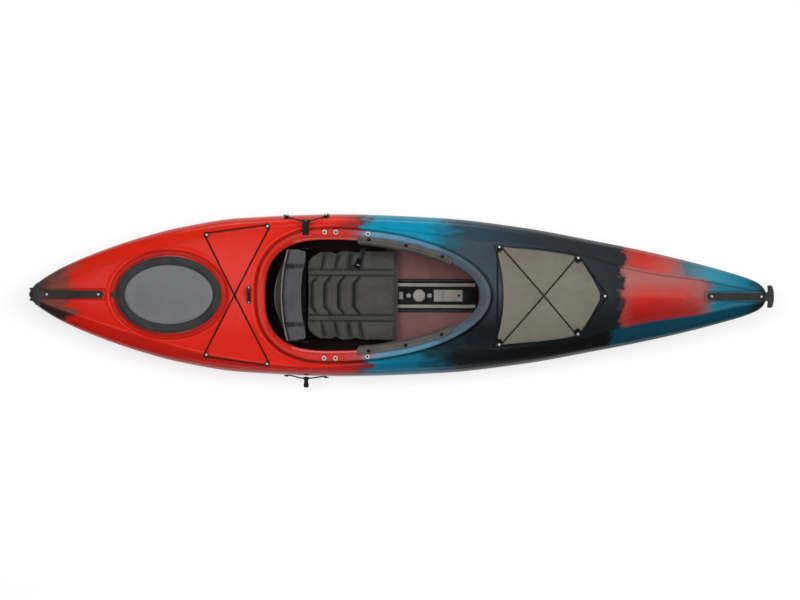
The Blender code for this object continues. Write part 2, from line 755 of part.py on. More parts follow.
def make_hatch(deck_surface):
    """Bonded rim in the deck, and the cover that presses over it."""
    def on_deck(inset, lift):
        return [Vector((x, y, deck_surface.below(x, y) + lift)) for x, y in hatch_ring(inset)]

    inner = HATCH_RISER_INSET + HATCH_RIM_WALL
    shelf = inner + HATCH_SHELF
    rim_top = HATCH_THICK + REST_GAP
    under = rim_top + HATCH_SHELF_THICK
    ring("hatch_rim", [on_deck(HATCH_RISER_INSET, -COAMING_TUCK),
                       hatch_level(HATCH_RISER_INSET, rim_top), hatch_level(shelf, rim_top),
                       hatch_level(shelf, under), hatch_level(inner, under),
                       on_deck(inner, -COAMING_TUCK)], RED_PLASTIC)
    valley_out, valley_in = SEAL_VALLEY
    slope = SEAL_VALLEY_DEPTH * 0.8
    seal_in = HATCH_PLATE_INSET - FIT
    seal = ring("hatch_seal_ring", [on_deck(0.0, REST_GAP), hatch_level(0.0, SEAL_EDGE),
                                    hatch_level(SEAL_EDGE, 0.0), hatch_level(valley_out, 0.0),
                                    hatch_level(valley_out + slope, SEAL_VALLEY_DEPTH),
                                    hatch_level(valley_in - slope, SEAL_VALLEY_DEPTH),
                                    hatch_level(valley_in, 0.0), hatch_level(seal_in, 0.0),
                                    hatch_level(seal_in, HATCH_THICK),
                                    hatch_level(SEAL_SKIRT, HATCH_THICK),
                                    on_deck(SEAL_SKIRT, REST_GAP)], BLACK_RUBBER)
    plate = stack("hatch_plate", [hatch_level(HATCH_PLATE_INSET, HATCH_THICK - SEAL_EDGE),
                                  hatch_level(HATCH_PLATE_INSET, SEAL_EDGE),
                                  hatch_level(HATCH_PLATE_INSET + SEAL_EDGE, 0.0)], GREY_PLASTIC)
    tab_x = HATCH_X - HATCH_HALF_LENGTH
    tab_z = hatch_top(tab_x) - HATCH_TAB_DROP
    tab = block("hatch_pull_tab", (tab_x - HATCH_TAB_LENGTH, -HATCH_TAB_HALF, tab_z),
                (tab_x + SEAL_SKIRT / 2, HATCH_TAB_HALF, tab_z + HATCH_TAB_THICK), BLACK_RUBBER,
                HATCH_TAB_THICK / 3)
    cut(seal, tab, "UNION")
    for piece in (seal, plate):
        move_origin(piece, (HATCH_X, 0, hatch_top(HATCH_X)))


def make_strap(name, start, end, deck_surface):
    """Flat handle strap along the deck's centreline; its inboard end is rounded."""
    steps = 14
    rounding = HANDLE_WIDTH / 2
    sign = 1 if end > start else -1
    places = [start + sign * rounding * (1 - math.cos(a)) for a in (0.5, 1.0, math.pi / 2)]
    places += [places[-1] + (end - places[-1]) * i / steps for i in range(1, steps + 1)]
    loops = []
    for x in places:
        inward = min(abs(x - start) / rounding, 1.0)
        half = rounding * math.sqrt(max(1 - (1 - inward) ** 2, 0.05))
        z = deck_surface.below(x, 0.0) + STRAP_GAP
        loops.append([Vector((x, -half, z)), Vector((x, half, z)),
                      Vector((x, half, z + HANDLE_THICK)), Vector((x, -half, z + HANDLE_THICK))])
    return stack(name, loops, BLACK_RUBBER)


def make_grip(name, centre_x, half_length, pivot, deck_surface):
    """Cross bar of a carry handle, on a tongue that bends at the strap's end."""
    low = deck_surface.below(pivot.x, 0.0)
    centre = Vector((centre_x, 0, low + STRAP_GAP + GRIP_THICK / 2))
    loops = []
    for share, width in GRIP_SHAPE:
        loop = []
        for i in range(ROUND_SIDES):
            angle = 2 * math.pi * i / ROUND_SIDES
            loop.append(centre - pivot + Vector((width * half_length * math.cos(angle),
                                                 share * GRIP_WIDTH / 2,
                                                 width * GRIP_THICK / 2 * math.sin(angle))))
        loops.append(loop)
    grip = stack(name, loops, BLACK_RUBBER, Matrix.Translation(pivot))
    sign = math.copysign(1, centre_x)
    reach = centre_x - sign * half_length * TONGUE_END - pivot.x
    outline = [(-sign * q, p) for p, q in half_round(HANDLE_THICK / 2, 0.0)]
    outline += [(reach, -HANDLE_THICK / 2), (reach, HANDLE_THICK / 2)]
    cut(grip, prism(name + "_tongue", outline, TONGUE_HALF, BLACK_RUBBER, "Y",
                    Matrix.Translation(pivot)), "UNION")


def make_screw(name, matrix):
    """Pan-head screw, shown by its head."""
    loops = [circle(SCREW_HEAD / 2, 0.0, ROUND_SIDES),
             circle(SCREW_HEAD / 2, SCREW_HEIGHT / 2, ROUND_SIDES),
             circle(SCREW_HEAD / 3, SCREW_HEIGHT, ROUND_SIDES)]
    return stack(name, loops, STEEL, matrix)


def make_handles(deck_surface):
    """Both carry handles, with their straps, grips and screws."""
    ends = (("bow", 1, BOW_STRAP_START, BOW_STRAP_END, BOW_GRIP_CENTRE, BOW_GRIP_HALF, BOW_SCREWS),
            ("stern", -1, STERN_STRAP_START, STERN_STRAP_END, STERN_GRIP_CENTRE, STERN_GRIP_HALF,
             STERN_SCREWS))
    for end, sign, start, stop, grip, grip_half, screws in ends:
        strap_end = sign * (HALF_LENGTH - stop)
        make_strap(end + "_handle_strap", sign * (HALF_LENGTH - start), strap_end, deck_surface)
        strap_z = deck_surface.below(strap_end, 0.0) + STRAP_GAP
        pivot = Vector((strap_end + sign * (HANDLE_THICK / 2 + FIT), 0, strap_z + HANDLE_THICK / 2))
        make_grip(end + "_handle_grip", sign * (HALF_LENGTH - grip), grip_half, pivot, deck_surface)
        for label, distance in zip(("inner", "outer"), screws):
            matrix = deck_surface.crest_seat(sign * (HALF_LENGTH - distance),
                                             STRAP_GAP + HANDLE_THICK + REST_GAP)
            make_screw(f"{end}_handle_screw_{label}", matrix)


def make_security_bar(deck_surface):
    """Arched bar behind the cockpit, for a lock or a cable."""
    top = deck_surface.below(BAR_X, 0.0) + BAR_RISE
    foot = FIT + max(deck_surface.below(BAR_X + side * BAR_WIDTH / 2, BAR_LEG) for side in (-1, 1))
    flange = foot + BAR_FLANGE
    lean = BAR_LEG_LEAN
    outline = [(-BAR_HALF, foot), (-BAR_LEG, foot), (-BAR_LEG + lean, top), (BAR_LEG - lean, top),
               (BAR_LEG, foot), (BAR_HALF, foot), (BAR_HALF, flange),
               (BAR_LEG + BAR_FLANGE, flange), (BAR_LEG - lean / 3, top + BAR_THICK),
               (lean / 3 - BAR_LEG, top + BAR_THICK), (-BAR_LEG - BAR_FLANGE, flange),
               (-BAR_HALF, flange)]
    matrix = Matrix.Translation((BAR_X, 0, 0))
    return prism("security_bar", outline, BAR_WIDTH / 2, BLACK_PLASTIC, "X", matrix)


def make_post(name, matrix):
    """Deck fitting: a flange, a neck that the cord goes round, and a cap that holds it down."""
    neck_top = POST_FLANGE_THICK + POST_NECK_HEIGHT
    cap_top = neck_top + POST_CAP_THICK
    loops = [circle(POST_FLANGE, 0.0, POST_SIDES), circle(POST_FLANGE, POST_FLANGE_THICK, POST_SIDES),
             circle(POST_NECK, POST_FLANGE_THICK, POST_SIDES), circle(POST_NECK, neck_top, POST_SIDES),
             circle(POST_CAP, neck_top, POST_SIDES),
             circle(POST_CAP, cap_top - POST_CAP_THICK / 3, POST_SIDES),
             circle(POST_CAP * 0.8, cap_top, POST_SIDES)]
    return stack(name, loops, BLACK_PLASTIC, matrix)


def lace(posts, deck_surface, height, raised):
    """Route of a cord round a closed row of posts, starting and ending at the first one.

    The cord keeps its height over the deck. raised names the run that crosses over another one.
    """
    wrap = POST_NECK + REST_GAP + CORD / 2
    count = len(posts)
    ways = [(Vector(posts[(i + 1) % count]) - Vector(posts[i])).normalized() for i in range(count)]
    flat = []
    for i in range(count + 1):
        post = Vector(posts[i % count])
        come, leave = ways[(i - 1) % count], ways[i % count]
        turn = math.atan2(come.x * leave.y - come.y * leave.x, come.dot(leave))
        side = -1 if turn > 0 else 1
        start = Vector((-come.y, come.x)) * side
        steps = max(2, round(abs(turn) / 0.5))
        shares = [s / steps for s in range(steps + 1)]
        if i == 0:
            shares = [s for s in shares if s > 0.55]
        if i == count:
            shares = [s for s in shares if s < 0.45]
        arc = [post + Matrix.Rotation(turn * s, 2) @ start * wrap for s in shares]
        if flat:
            last, first = flat[-1][0], arc[0]
            runs = max(2, math.ceil((first - last).length / CORD_STEP))
            flat += [(last.lerp(first, r / runs), i - 1, None) for r in range(1, runs)]
        flat += [(point, None, post) for point in arc]
    first, second = Vector(posts[raised]), Vector(posts[(raised + 1) % count])
    crossing = first.lerp(second, abs(first.y) / (abs(first.y) + abs(second.y)))
    route = []
    for point, run, post in flat:
        lift = 0.0
        if run == raised:
            lift = (CORD + CROSS_GAP) * math.exp(-((point - crossing).length / CROSS_REACH) ** 2)
        if post is None:
            route.append(deck_surface.over(point.x, point.y, height + lift))
        else:
            seat = deck_surface.seat(post.x, post.y, POST_FLANGE)
            local = seat.to_3x3().inverted() @ Vector((*(point - post), 0.0))
            local.z = 0.0
            route.append(seat @ (local.normalized() * wrap + Vector((0, 0, height - FIT))))
    return route


def make_deck_rigging(deck_surface):
    """Fittings and shock cord behind the cockpit and on the foredeck."""
    ax, ay = STERN_AFT_POST
    fx, fy = STERN_FORE_POST
    stern = {"aft_port": (ax, ay), "fore_port": (fx, fy), "aft_starboard": (ax, -ay),
             "fore_starboard": (fx, -fy)}
    for label, (x, y) in stern.items():
        make_post("stern_fitting_" + label, deck_surface.seat(x, y, POST_FLANGE))
    order = ("aft_port", "fore_port", "aft_starboard", "fore_starboard")
    held = POST_FLANGE_THICK + POST_NECK_HEIGHT / 2
    route = lace([stern[label] for label in order], deck_surface, held, 3)
    tube("stern_shock_cord", route, CORD, BLACK_CORD, 1)

    ax, ay = DECK_AFT_POST
    fx, fy = DECK_FORE_POST
    bow = {"fore_port": (fx, fy), "aft_starboard": (ax, -ay), "aft_port": (ax, ay),
           "fore_starboard": (fx, -fy), "tip": DECK_TIP_POST}
    for label, (x, y) in bow.items():
        make_post("foredeck_fitting_" + label, deck_surface.seat(x, y, POST_FLANGE))
    held = STRAP_GAP + PAD_THICK + REST_GAP + CORD / 2
    route = lace(list(bow.values()), deck_surface, held + REST_GAP, 2)
    tube("foredeck_shock_cord", route, CORD, BLACK_CORD, 1)


def make_foredeck_pad():
    """Thin pad that follows the foredeck, pointed forward and hollowed aft."""
    places = [x for x in stations() if abs(x - (PAD_AFT + PAD_FORE) / 2) < PAD_FORE - PAD_AFT]
    low = [full_row(x, deck_half_section(x)[3:], SEAM + STRAP_GAP) for x in places]
    high = [full_row(x, deck_half_section(x)[3:], SEAM + STRAP_GAP + PAD_THICK) for x in places]
    pad = pillow("foredeck_pad", high, low, TAUPE_FOAM)
    sides = [(PAD_AFT, PAD_AFT_HALF), (PAD_MIDDLE, PAD_MIDDLE_HALF),
             ((PAD_MIDDLE + PAD_FORE) / 2, PAD_TAPER_HALF), (PAD_FORE, PAD_TIP_HALF)]
    steps = 12
    port = [(PAD_AFT + (PAD_FORE - PAD_AFT) * i / steps) for i in range(steps + 1)]
    outline = [(x, smooth(sides, x)) for x in port] + [(x, -smooth(sides, x)) for x in port[::-1]]
    for i in range(1, steps):
        across = 2 * i / steps - 1
        outline.append((PAD_AFT + PAD_HOLLOW * (1 - across ** 2), PAD_AFT_HALF * across))
    cut(pad, opening_cutter("pad_outline", outline, GUNWALE, COAMING_FORE_Z), "INTERSECT")
    for label, x, y in (("aft", *DECK_AFT_POST), ("fore", *DECK_FORE_POST)):
        for side in (1, -1):
            notch = [(x + p.x, side * (y + p.y * (3 if p.y > 0 else 1)))
                     for p in circle(PAD_NOTCH, 0.0, ROUND_SIDES)]
            cut(pad, opening_cutter(f"pad_notch_{label}_{side}", notch, GUNWALE, COAMING_FORE_Z))
    return pad


def make_park(side, pivot, tab, post_z, hull_surface):
    """Paddle park: a tab on a shock cord that is held by two fittings at the gunwale."""
    label = "port" if side > 0 else "starboard"
    y, z = pivot
    knots = []
    for place, sign in (("aft", -1), ("fore", 1)):
        seat = hull_surface.side_seat(PARK_X + sign * PARK_SPREAD, post_z, side, POST_FLANGE)
        make_post(f"park_fitting_{place}_{label}", seat)
        mouth = Vector((PARK_X + sign * TAB_WIDTH / 2, y, z))
        outside = mouth + Vector((sign * CORD, 0, 0))
        toward = seat.inverted() @ mouth
        toward.z = 0.0
        toward.normalize()
        held = Vector((0, 0, POST_FLANGE_THICK + POST_NECK_HEIGHT / 2))
        run = [seat @ (toward * (POST_NECK + REST_GAP) + held),
               seat @ (toward * (POST_CAP + CORD) + held), outside, mouth]
        knots += run if sign < 0 else run[::-1]
    tube("park_cord_" + label, spline_points(knots, 4), CORD, BLACK_CORD, 1)

    origin = Vector((PARK_X, y, z))
    piece = prism("park_tab_" + label, tab, TAB_WIDTH / 2, BLACK_PLASTIC, "X",
                  Matrix.Translation(origin))
    bore = stack("park_bore_" + label,
                 [circle(TAB_BORE, s * TAB_WIDTH, ROUND_SIDES) for s in (-1, 1)],
                 BLACK_PLASTIC, rod_matrix(origin, (1, 0, 0)))
    cut(piece, bore)


def half_round(radius, start):
    """Half circle of points from the start angle, turning left."""
    angles = [start + math.pi * i / 8 for i in range(9)]
    return [(radius * math.cos(a), radius * math.sin(a)) for a in angles]


def make_parks(deck_surface, hull_surface):
    """The port tab hooks over the coaming, and the starboard one stands out over the side."""
    lip_y = cockpit_half(PARK_X, 0.0)
    y, z = PORT_PIVOT
    rest = max(coaming_z(PARK_X - TAB_WIDTH / 2), coaming_z(PARK_X + TAB_WIDTH / 2)) + REST_GAP - z
    over = lip_y - y
    tip = -TAB_LENGTH
    port = half_round(TAB_BOSS, -math.pi / 2)
    port += [(-TAB_BEND, TAB_BOSS + TAB_THICK / 2), (over + TAB_THICK, rest + TAB_THICK),
             (tip, rest + TAB_THICK), (tip, rest), (over + TAB_THICK / 2, rest),
             (-TAB_BEND - TAB_THICK, -TAB_THICK / 4)]
    make_park(1, PORT_PIVOT, port, PORT_POST_Z, deck_surface)
    reach = STARBOARD_TAB_LENGTH
    starboard = [(-p, q) for p, q in half_round(TAB_BOSS, math.pi / 2)]
    starboard += [(-TAB_BEND, -TAB_THICK / 2), (-reach, -TAB_THICK / 2), (-reach, TAB_THICK / 2),
                  (-TAB_BEND, TAB_THICK / 2)]
    make_park(-1, STARBOARD_PIVOT, starboard, STARBOARD_POST_Z, hull_surface)


def make_floor_track():
    """Moulded tray on the floor with two rails that the seat slides on, and a centre block."""
    floor = WALL + FIT
    block("track_tray", (TRACK_AFT, -TRACK_HALF, floor), (TRACK_FORE, TRACK_HALF, floor + TRACK_THICK),
          BLACK_PLASTIC, TRACK_THICK / 6)
    top = floor + TRACK_THICK + FIT
    for label, side in (("port", 1), ("starboard", -1)):
        block("seat_rail_" + label, (TRACK_AFT, side * RAIL_Y - RAIL_WIDTH / 2, top),
              (RAIL_FORE, side * RAIL_Y + RAIL_WIDTH / 2, top + RAIL_HEIGHT), PALE_PLASTIC,
              SMALL_ROUND)
    block("track_block", (BLOCK_AFT, -BLOCK_WIDTH / 2, top),
          (BLOCK_FORE, BLOCK_WIDTH / 2, top + BLOCK_HEIGHT), PALE_PLASTIC, SMALL_ROUND)
    return top + RAIL_HEIGHT


def groove(distance):
    return CHANNEL_DEPTH * math.exp(-(distance / CHANNEL_WIDTH) ** 2)


def make_seat(rail_top):
    """Seat base on the rails, and the padded seat with its sewn channels."""
    base_z = rail_top + REST_GAP
    base = block("seat_base", (SEAT_BASE_AFT, -SEAT_BASE_HALF, base_z),
                 (SEAT_BASE_FORE, SEAT_BASE_HALF, base_z + SEAT_BASE_THICK), BLACK_PLASTIC,
                 SEAT_BASE_WALL * 0.8)
    under = SEAT_BASE_RIB
    for label, low_y, high_y in (("port", RAIL_Y + RAIL_WIDTH, SEAT_BASE_HALF - under),
                                 ("middle", RAIL_WIDTH - RAIL_Y, RAIL_Y - RAIL_WIDTH),
                                 ("starboard", under - SEAT_BASE_HALF, -RAIL_Y - RAIL_WIDTH)):
        hollow = block("seat_hollow_" + label, (SEAT_BASE_AFT + under, low_y, base_z - under),
                       (SEAT_BASE_FORE - under, high_y, base_z + SEAT_BASE_THICK - SEAT_BASE_WALL),
                       BLACK_PLASTIC)
        cut(base, hollow)
    low = base_z + SEAT_BASE_THICK + REST_GAP
    top, bottom = [], []
    for t in SEAT_ALONG:
        top_row, bottom_row = [], []
        for s in SEAT_ACROSS:
            y = SEAT_HALF * s * (1 - SEAT_TAPER * max(0.0, SEAT_TAPER_START - t))
            shift = CHEVRON * min(2 * abs(s), 1.0) * math.sin(math.pi * t)
            x = SEAT_AFT + (SEAT_FORE - SEAT_AFT) * t + shift
            rear = max(0.0, 1 - t / SEAT_RISE_SHARE)
            rise = SEAT_REAR_RISE * rear ** 1.5
            z = low + SEAT_FRONT_THICK + rise + SEAT_WING * abs(s) ** 2
            edge = max(abs(s), abs(2 * t - 1))
            z -= SEAT_ROLL * max(0.0, (edge - SEAT_ROLL_START) / (1 - SEAT_ROLL_START)) ** 2
            z -= groove(abs(y) - CHANNEL_Y)
            z -= max(groove((t - c) * (SEAT_FORE - SEAT_AFT)) for c in SEAT_CHANNELS)
            top_row.append(Vector((x, y, z)))
            floor = low + max(0.0, rise - SEAT_HOLLOW) + SEAT_WING / 2 * abs(s) ** 2
            bottom_row.append(Vector((x, y, floor)))
        top.append(top_row)
        bottom.append(bottom_row)
    pad = pillow("seat_cushion", top, bottom, GREY_FABRIC)
    for piece in (base, pad):
        move_origin(piece, ((SEAT_BASE_AFT + SEAT_BASE_FORE) / 2, 0, rail_top))


def back_face(s, t):
    """Front face of the backrest: s runs across, t runs up."""
    z = BACK_BOTTOM + (BACK_TOP - BACK_BOTTOM) * t
    x = BACK_FRONT - BACK_LEAN * t + BACK_WRAP * s ** 2
    return Vector((x, BACK_HALF * s, z))


def make_back_hinge(rail_top):
    """Cross bar behind the seat base, with the rod that the backrest folds about."""
    x, z = BACK_PIVOT
    bar_half = BACK_HALF - FIT
    bar = block("back_hinge_bar", (x - HINGE_BAR_HALF, -bar_half, rail_top + REST_GAP),
                (x + HINGE_BAR_HALF, bar_half, HINGE_BAR_TOP), BLACK_PLASTIC, 2 * SMALL_ROUND)
    move_origin(bar, (x, 0, z))
    rod_half = BACK_HALF + 2 * FIT + BACK_ARM_THICK + ROD_STICKS_OUT
    across = rod_matrix((x, 0, z), (0, 1, 0))
    loops = [circle(HINGE_ROD / 2, side * rod_half, ROUND_SIDES) for side in (-1, 1)]
    stack("back_hinge_rod", loops, STEEL, across)
    bore = stack("hinge_bore", [circle(HINGE_ROD / 2 + FIT, side * 2 * rod_half, ROUND_SIDES)
                                for side in (-1, 1)], STEEL, across)
    cut(bar, bore)
    low = back_face(1.0, 0.0)
    top_z = low.z + BACK_ARM_LAP
    rear = low.x - BACK_THICK
    for label, side in (("port", 1), ("starboard", -1)):
        inner = side * (BACK_HALF + FIT)
        outer = inner + side * BACK_ARM_THICK
        outline = [(x + p, z + q) for p, q in half_round(BACK_ARM_HALF, math.pi)]
        half = BACK_ARM_HALF
        outline += [(rear + 2.5 * half, top_z - half), (rear + 1.5 * half, top_z),
                    (rear - half / 3, top_z), (rear - half / 3, top_z - 2.5 * half)]
        loops = [[Vector((px - x, y, pz - z)) for px, pz in outline] for y in (inner, outer)]
        arm = stack("back_arm_" + label, loops, BLACK_PLASTIC, Matrix.Translation((x, 0, z)))
        cut(arm, bore)


def make_backrest():
    """Padded backrest and its moulded shell."""
    front, back = [], []
    for t in BACK_ALONG:
        front_row, back_row = [], []
        for s in BACK_ACROSS:
            edge = max(abs(s), abs(2 * t - 1))
            roll = BACK_ROLL * max(0.0, (edge - BACK_ROLL_START) / (1 - BACK_ROLL_START)) ** 2
            face = back_face(s, t)
            front_row.append(face - Vector((roll, 0, 0)))
            back_row.append(face + Vector((-BACK_THICK, 0, 0)))
        front.append(front_row)
        back.append(back_row)
    cushion = pillow("backrest_cushion", front, back, GREY_FABRIC)

    front, back = [], []
    for t in SHELL_ALONG:
        front_row, back_row = [], []
        for s in BACK_ACROSS:
            wide = s * SHELL_HALF / BACK_HALF
            face = back_face(wide, t) + Vector((-BACK_THICK - REST_GAP, 0, 0))
            swell = max(0.0, math.cos(math.pi * SHELL_WIDE * s))
            bulge = SHELL_THICK + SHELL_BULGE * swell * math.sin(math.pi * t)
            front_row.append(face)
            back_row.append(face - Vector((bulge, 0, 0)))
        front.append(front_row)
        back.append(back_row)
    shell = pillow("backrest_shell", front, back, BLACK_PLASTIC)
    for piece in (cushion, shell):
        move_origin(piece, (BACK_PIVOT[0], 0, BACK_PIVOT[1]))


def make_foot_brace(label, side, hull_surface):
    """Rail along the side of the hull with a pedal that slides on it."""
    low = FOOT_Z - FOOT_RAIL_HEIGHT / 2 + SMALL_ROUND / 2
    aft, fore = (Vector((x, side * (hull_surface.inside_half(x, low) - FIT), FOOT_Z))
                 for x in (FOOT_AFT, FOOT_FORE))
    way = fore - aft
    matrix = Matrix.Translation(aft) @ Matrix.Rotation(math.atan2(way.y, way.x), 4, "Z")
    depth = sorted((0.0, -side * FOOT_RAIL_THICK))
    block("foot_rail_" + label, (0, depth[0], -FOOT_RAIL_HEIGHT / 2),
          (way.length, depth[1], FOOT_RAIL_HEIGHT / 2), BLACK_PLASTIC, SMALL_ROUND, matrix)
    face = FOOT_RAIL_THICK + REST_GAP
    shoe = face + PEDAL_THICK
    outline = [(0, face), (PEDAL_SHOE, face), (PEDAL_SHOE, shoe), (PEDAL_THICK, shoe),
               (PEDAL_THICK, shoe + PEDAL_WIDTH), (0, shoe + PEDAL_WIDTH)]
    loops = [[Vector((px, -side * py, z)) for px, py in outline] for z in (-PEDAL_BELOW, PEDAL_ABOVE)]
    place = matrix @ Matrix.Translation((way.length * PEDAL_PLACE, 0, 0))
    stack("foot_pedal_" + label, loops, GREY_PLASTIC, place)


def facet_section(section, x):
    """Half section of the faceted shell at x, between two stations."""
    places = stations()
    fore = next(i for i, place in enumerate(places) if place >= x)
    share = (x - places[fore - 1]) / (places[fore] - places[fore - 1])
    return [(y0 + (y1 - y0) * share, z0 + (z1 - z0) * share)
            for (y0, z0), (y1, z1) in zip(section(places[fore - 1]), section(places[fore]))]


def make_bulkhead():
    """Wall between the cockpit and the stern compartment, cut to the inside of the shell."""
    inset = WALL + BULKHEAD_GAP
    loops = []
    for x in (BULKHEAD_X - BULKHEAD_THICK / 2, BULKHEAD_X + BULKHEAD_THICK / 2):
        low = offset_section(facet_section(hull_half_section, x), inset, False)
        high = offset_section(facet_section(deck_half_section, x), inset, True)
        half = low + high[1:]
        loops.append([Vector((x, y, z)) for y, z in half]
                     + [Vector((x, -y, z)) for y, z in half[-2:0:-1]])
    return stack("stern_bulkhead", loops, GREY_FOAM)


def make_skeg(hull, hull_surface, bulkhead):
    """Drop-down skeg: its box over a slot in the hull, its blade, pin, cable and slider."""
    middle = (SKEG_SLOT_AFT + SKEG_SLOT_FORE) / 2
    half = (SKEG_SLOT_FORE - SKEG_SLOT_AFT) / 2
    slot_half = SKEG_SLOT_WIDTH / 2
    slot = block("skeg_slot_cutter", (middle - half, -slot_half, -GUNWALE),
                 (middle + half, slot_half, SKEG_PIN_Z), BLACK_PLASTIC)
    cut(hull, slot)
    rows = []
    for wall in (SKEG_BOX_WALL, 0.0):
        skin = []
        for i in range(9):
            x = middle + (half + wall) * (i / 4 - 1)
            y, top = slot_half + wall, SKEG_BOX_TOP - SKEG_BOX_WALL + wall
            low = hull_surface.floor(x, slot_half + SKEG_BOX_WALL, SKEG_BOX_TOP) + FIT
            skin.append([Vector((x, y, low)), Vector((x, y, top)),
                         Vector((x, -y, top)), Vector((x, -y, low))])
        rows.append(skin)
    box = trough("skeg_box", rows[0], rows[1], BLACK_PLASTIC)
    pin_half = slot_half + SKEG_BOX_WALL + PIN_STICKS_OUT
    across = rod_matrix((SKEG_PIN_X, 0, SKEG_PIN_Z), (0, 1, 0))
    stack("skeg_pin", [circle(SKEG_PIN / 2, side * pin_half, ROUND_SIDES) for side in (-1, 1)],
          STEEL, across)
    bore = stack("skeg_bore", [circle(SKEG_PIN / 2 + FIT, side * 2 * pin_half, ROUND_SIDES)
                               for side in (-1, 1)], STEEL, across)
    cut(box, bore)
    outline = [(-aft, up) for aft, up in SKEG_BLADE]
    blade = prism("skeg_blade", outline, SKEG_BLADE_THICK / 2, BLACK_PLASTIC, "Y",
                  Matrix.Translation((SKEG_PIN_X, 0, SKEG_PIN_Z)))
    cut(blade, bore)
    make_skeg_control(hull_surface, bulkhead)


def make_skeg_control(hull_surface, bulkhead):
    """Slider on the starboard wall beside the seat, and the cable that runs aft from it."""
    fore = SLIDER_AFT + SLIDER_LENGTH
    low, high = SLIDER_Z - SLIDER_HEIGHT / 2, SLIDER_Z + SLIDER_HEIGHT / 2
    wall = min(hull_surface.inside_half(x, low) for x in (SLIDER_AFT, fore)) - FIT
    block("skeg_slider_track", (SLIDER_AFT, -wall, low), (fore, SLIDER_THICK - wall, high),
          BLACK_PLASTIC, SMALL_ROUND)
    knob_x = SLIDER_AFT + KNOB_FROM_END + KNOB_LENGTH / 2
    knob_y = SLIDER_THICK - wall + REST_GAP
    half = Vector((KNOB_LENGTH / 2, 0, KNOB_HEIGHT / 2))
    block("skeg_slider_knob", -half, half + Vector((0, KNOB_THICK, 0)), GREY_PLASTIC,
          2 * SMALL_ROUND, Matrix.Translation((knob_x, knob_y, SLIDER_Z)))
    start = Vector((SKEG_SLOT_FORE + SKEG_BOX_WALL + FIT, 0, SKEG_BOX_TOP - CABLE_DROP))
    end = Vector((SLIDER_AFT - FIT, SLIDER_THICK / 2 - wall, SLIDER_Z))
    through = Vector((BULKHEAD_X, *CABLE_PASS))
    straight = Vector((CABLE_STRAIGHT, 0, 0))
    knots = [start, start + straight, Vector(CABLE_STERN), through]
    knots += [Vector(point) for point in CABLE_SIDE] + [end - straight, end]
    tube("skeg_cable", spline_points(knots, 5), CABLE, BLACK_CORD, 1)
    hole = stack("cable_hole", [circle(CABLE / 2 + CABLE_HOLE_GAP, s * BULKHEAD_THICK * 2,
                                       ROUND_SIDES) for s in (-1, 1)], BLACK_PLASTIC,
                 rod_matrix(through, knots[4] - knots[2]))
    cut(bulkhead, hole)


def spline_points(knots, steps):
    """Points along a smooth curve through the knots."""
    points = []
    for i in range(len(knots) - 1):
        before, a = knots[max(i - 1, 0)], knots[i]
        b, after = knots[i + 1], knots[min(i + 2, len(knots) - 1)]
        span = (b - a).length
        enter = (b - before).normalized() * span
        leave = (after - a).normalized() * span
        for j in range(steps):
            t = j / steps
            points.append(a * (1 + 2 * t) * (1 - t) ** 2 + b * t * t * (3 - 2 * t)
                          + enter * t * (1 - t) ** 2 - leave * t * t * (1 - t))
    return points + [knots[-1]]


def main():
    clear_scene()
    hull = make_hull()
    deck = make_deck()
    deck_surface = Surface(deck)
    hull_surface = Surface(hull)
    low, high = GUNWALE, COAMING_FORE_Z + BEAM
    cut(deck, opening_cutter("cockpit_cutter", cockpit_ring(COAMING_RISER - FIT), low, high))
    cut(deck, opening_cutter("hatch_cutter", hatch_ring(HATCH_RISER_INSET - FIT), low, high))
    make_coaming(deck_surface)
    for side in (1, -1):
        make_thigh_brace(side)
    make_hatch(deck_surface)
    make_handles(deck_surface)
    make_security_bar(deck_surface)
    make_deck_rigging(deck_surface)
    make_foredeck_pad()
    make_parks(deck_surface, hull_surface)
    rail_top = make_floor_track()
    make_seat(rail_top)
    make_back_hinge(rail_top)
    make_backrest()
    for label, side in (("port", 1), ("starboard", -1)):
        make_foot_brace(label, side, hull_surface)
    make_skeg(hull, hull_surface, make_bulkhead())


main()
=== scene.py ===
"""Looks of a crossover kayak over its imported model: camera, light, finishes, fine pieces."""
import sys

import logging
from dataclasses import dataclass, field
from enum import Enum
from functools import partial
from math import atan2, ceil, copysign, cos, exp, hypot, pi, radians, sin, sqrt
from typing import Callable, Optional, Sequence

import bmesh
import bpy
from mathutils import Matrix, Vector, noise
from mathutils.bvhtree import BVHTree


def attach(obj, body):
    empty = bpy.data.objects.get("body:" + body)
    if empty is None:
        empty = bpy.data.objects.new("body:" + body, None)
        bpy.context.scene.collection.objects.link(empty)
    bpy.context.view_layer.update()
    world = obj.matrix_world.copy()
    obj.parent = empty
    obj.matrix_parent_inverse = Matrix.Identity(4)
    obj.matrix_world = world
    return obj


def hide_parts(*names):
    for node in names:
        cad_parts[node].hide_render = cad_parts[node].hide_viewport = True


LOG = logging.getLogger("kayak")

Point = tuple[float, float]
Spot = tuple[float, float, float]
Curve = Sequence[Point]
Place = Callable[[float, float], Vector]
Colour = tuple[float, float, float, float]
Stops = Sequence[tuple[float, str]]
Socket = bpy.types.NodeSocket
Add = Callable[..., Socket]
Mesh = bmesh.types.BMesh
Piece = bpy.types.Object
MADE: dict[str, bpy.types.Material] = {}


class Side(Enum):
    """The two sides of the boat, with the sign of Y on each."""

    PORT = 1
    STARBOARD = -1

    @property
    def label(self) -> str:
        """The side's name in the names of pieces."""
        return self.name.lower()


class Closed(Enum):
    """Which way a laid grid meets itself."""

    NEITHER = 0
    AROUND = 1
    BOTH = 2


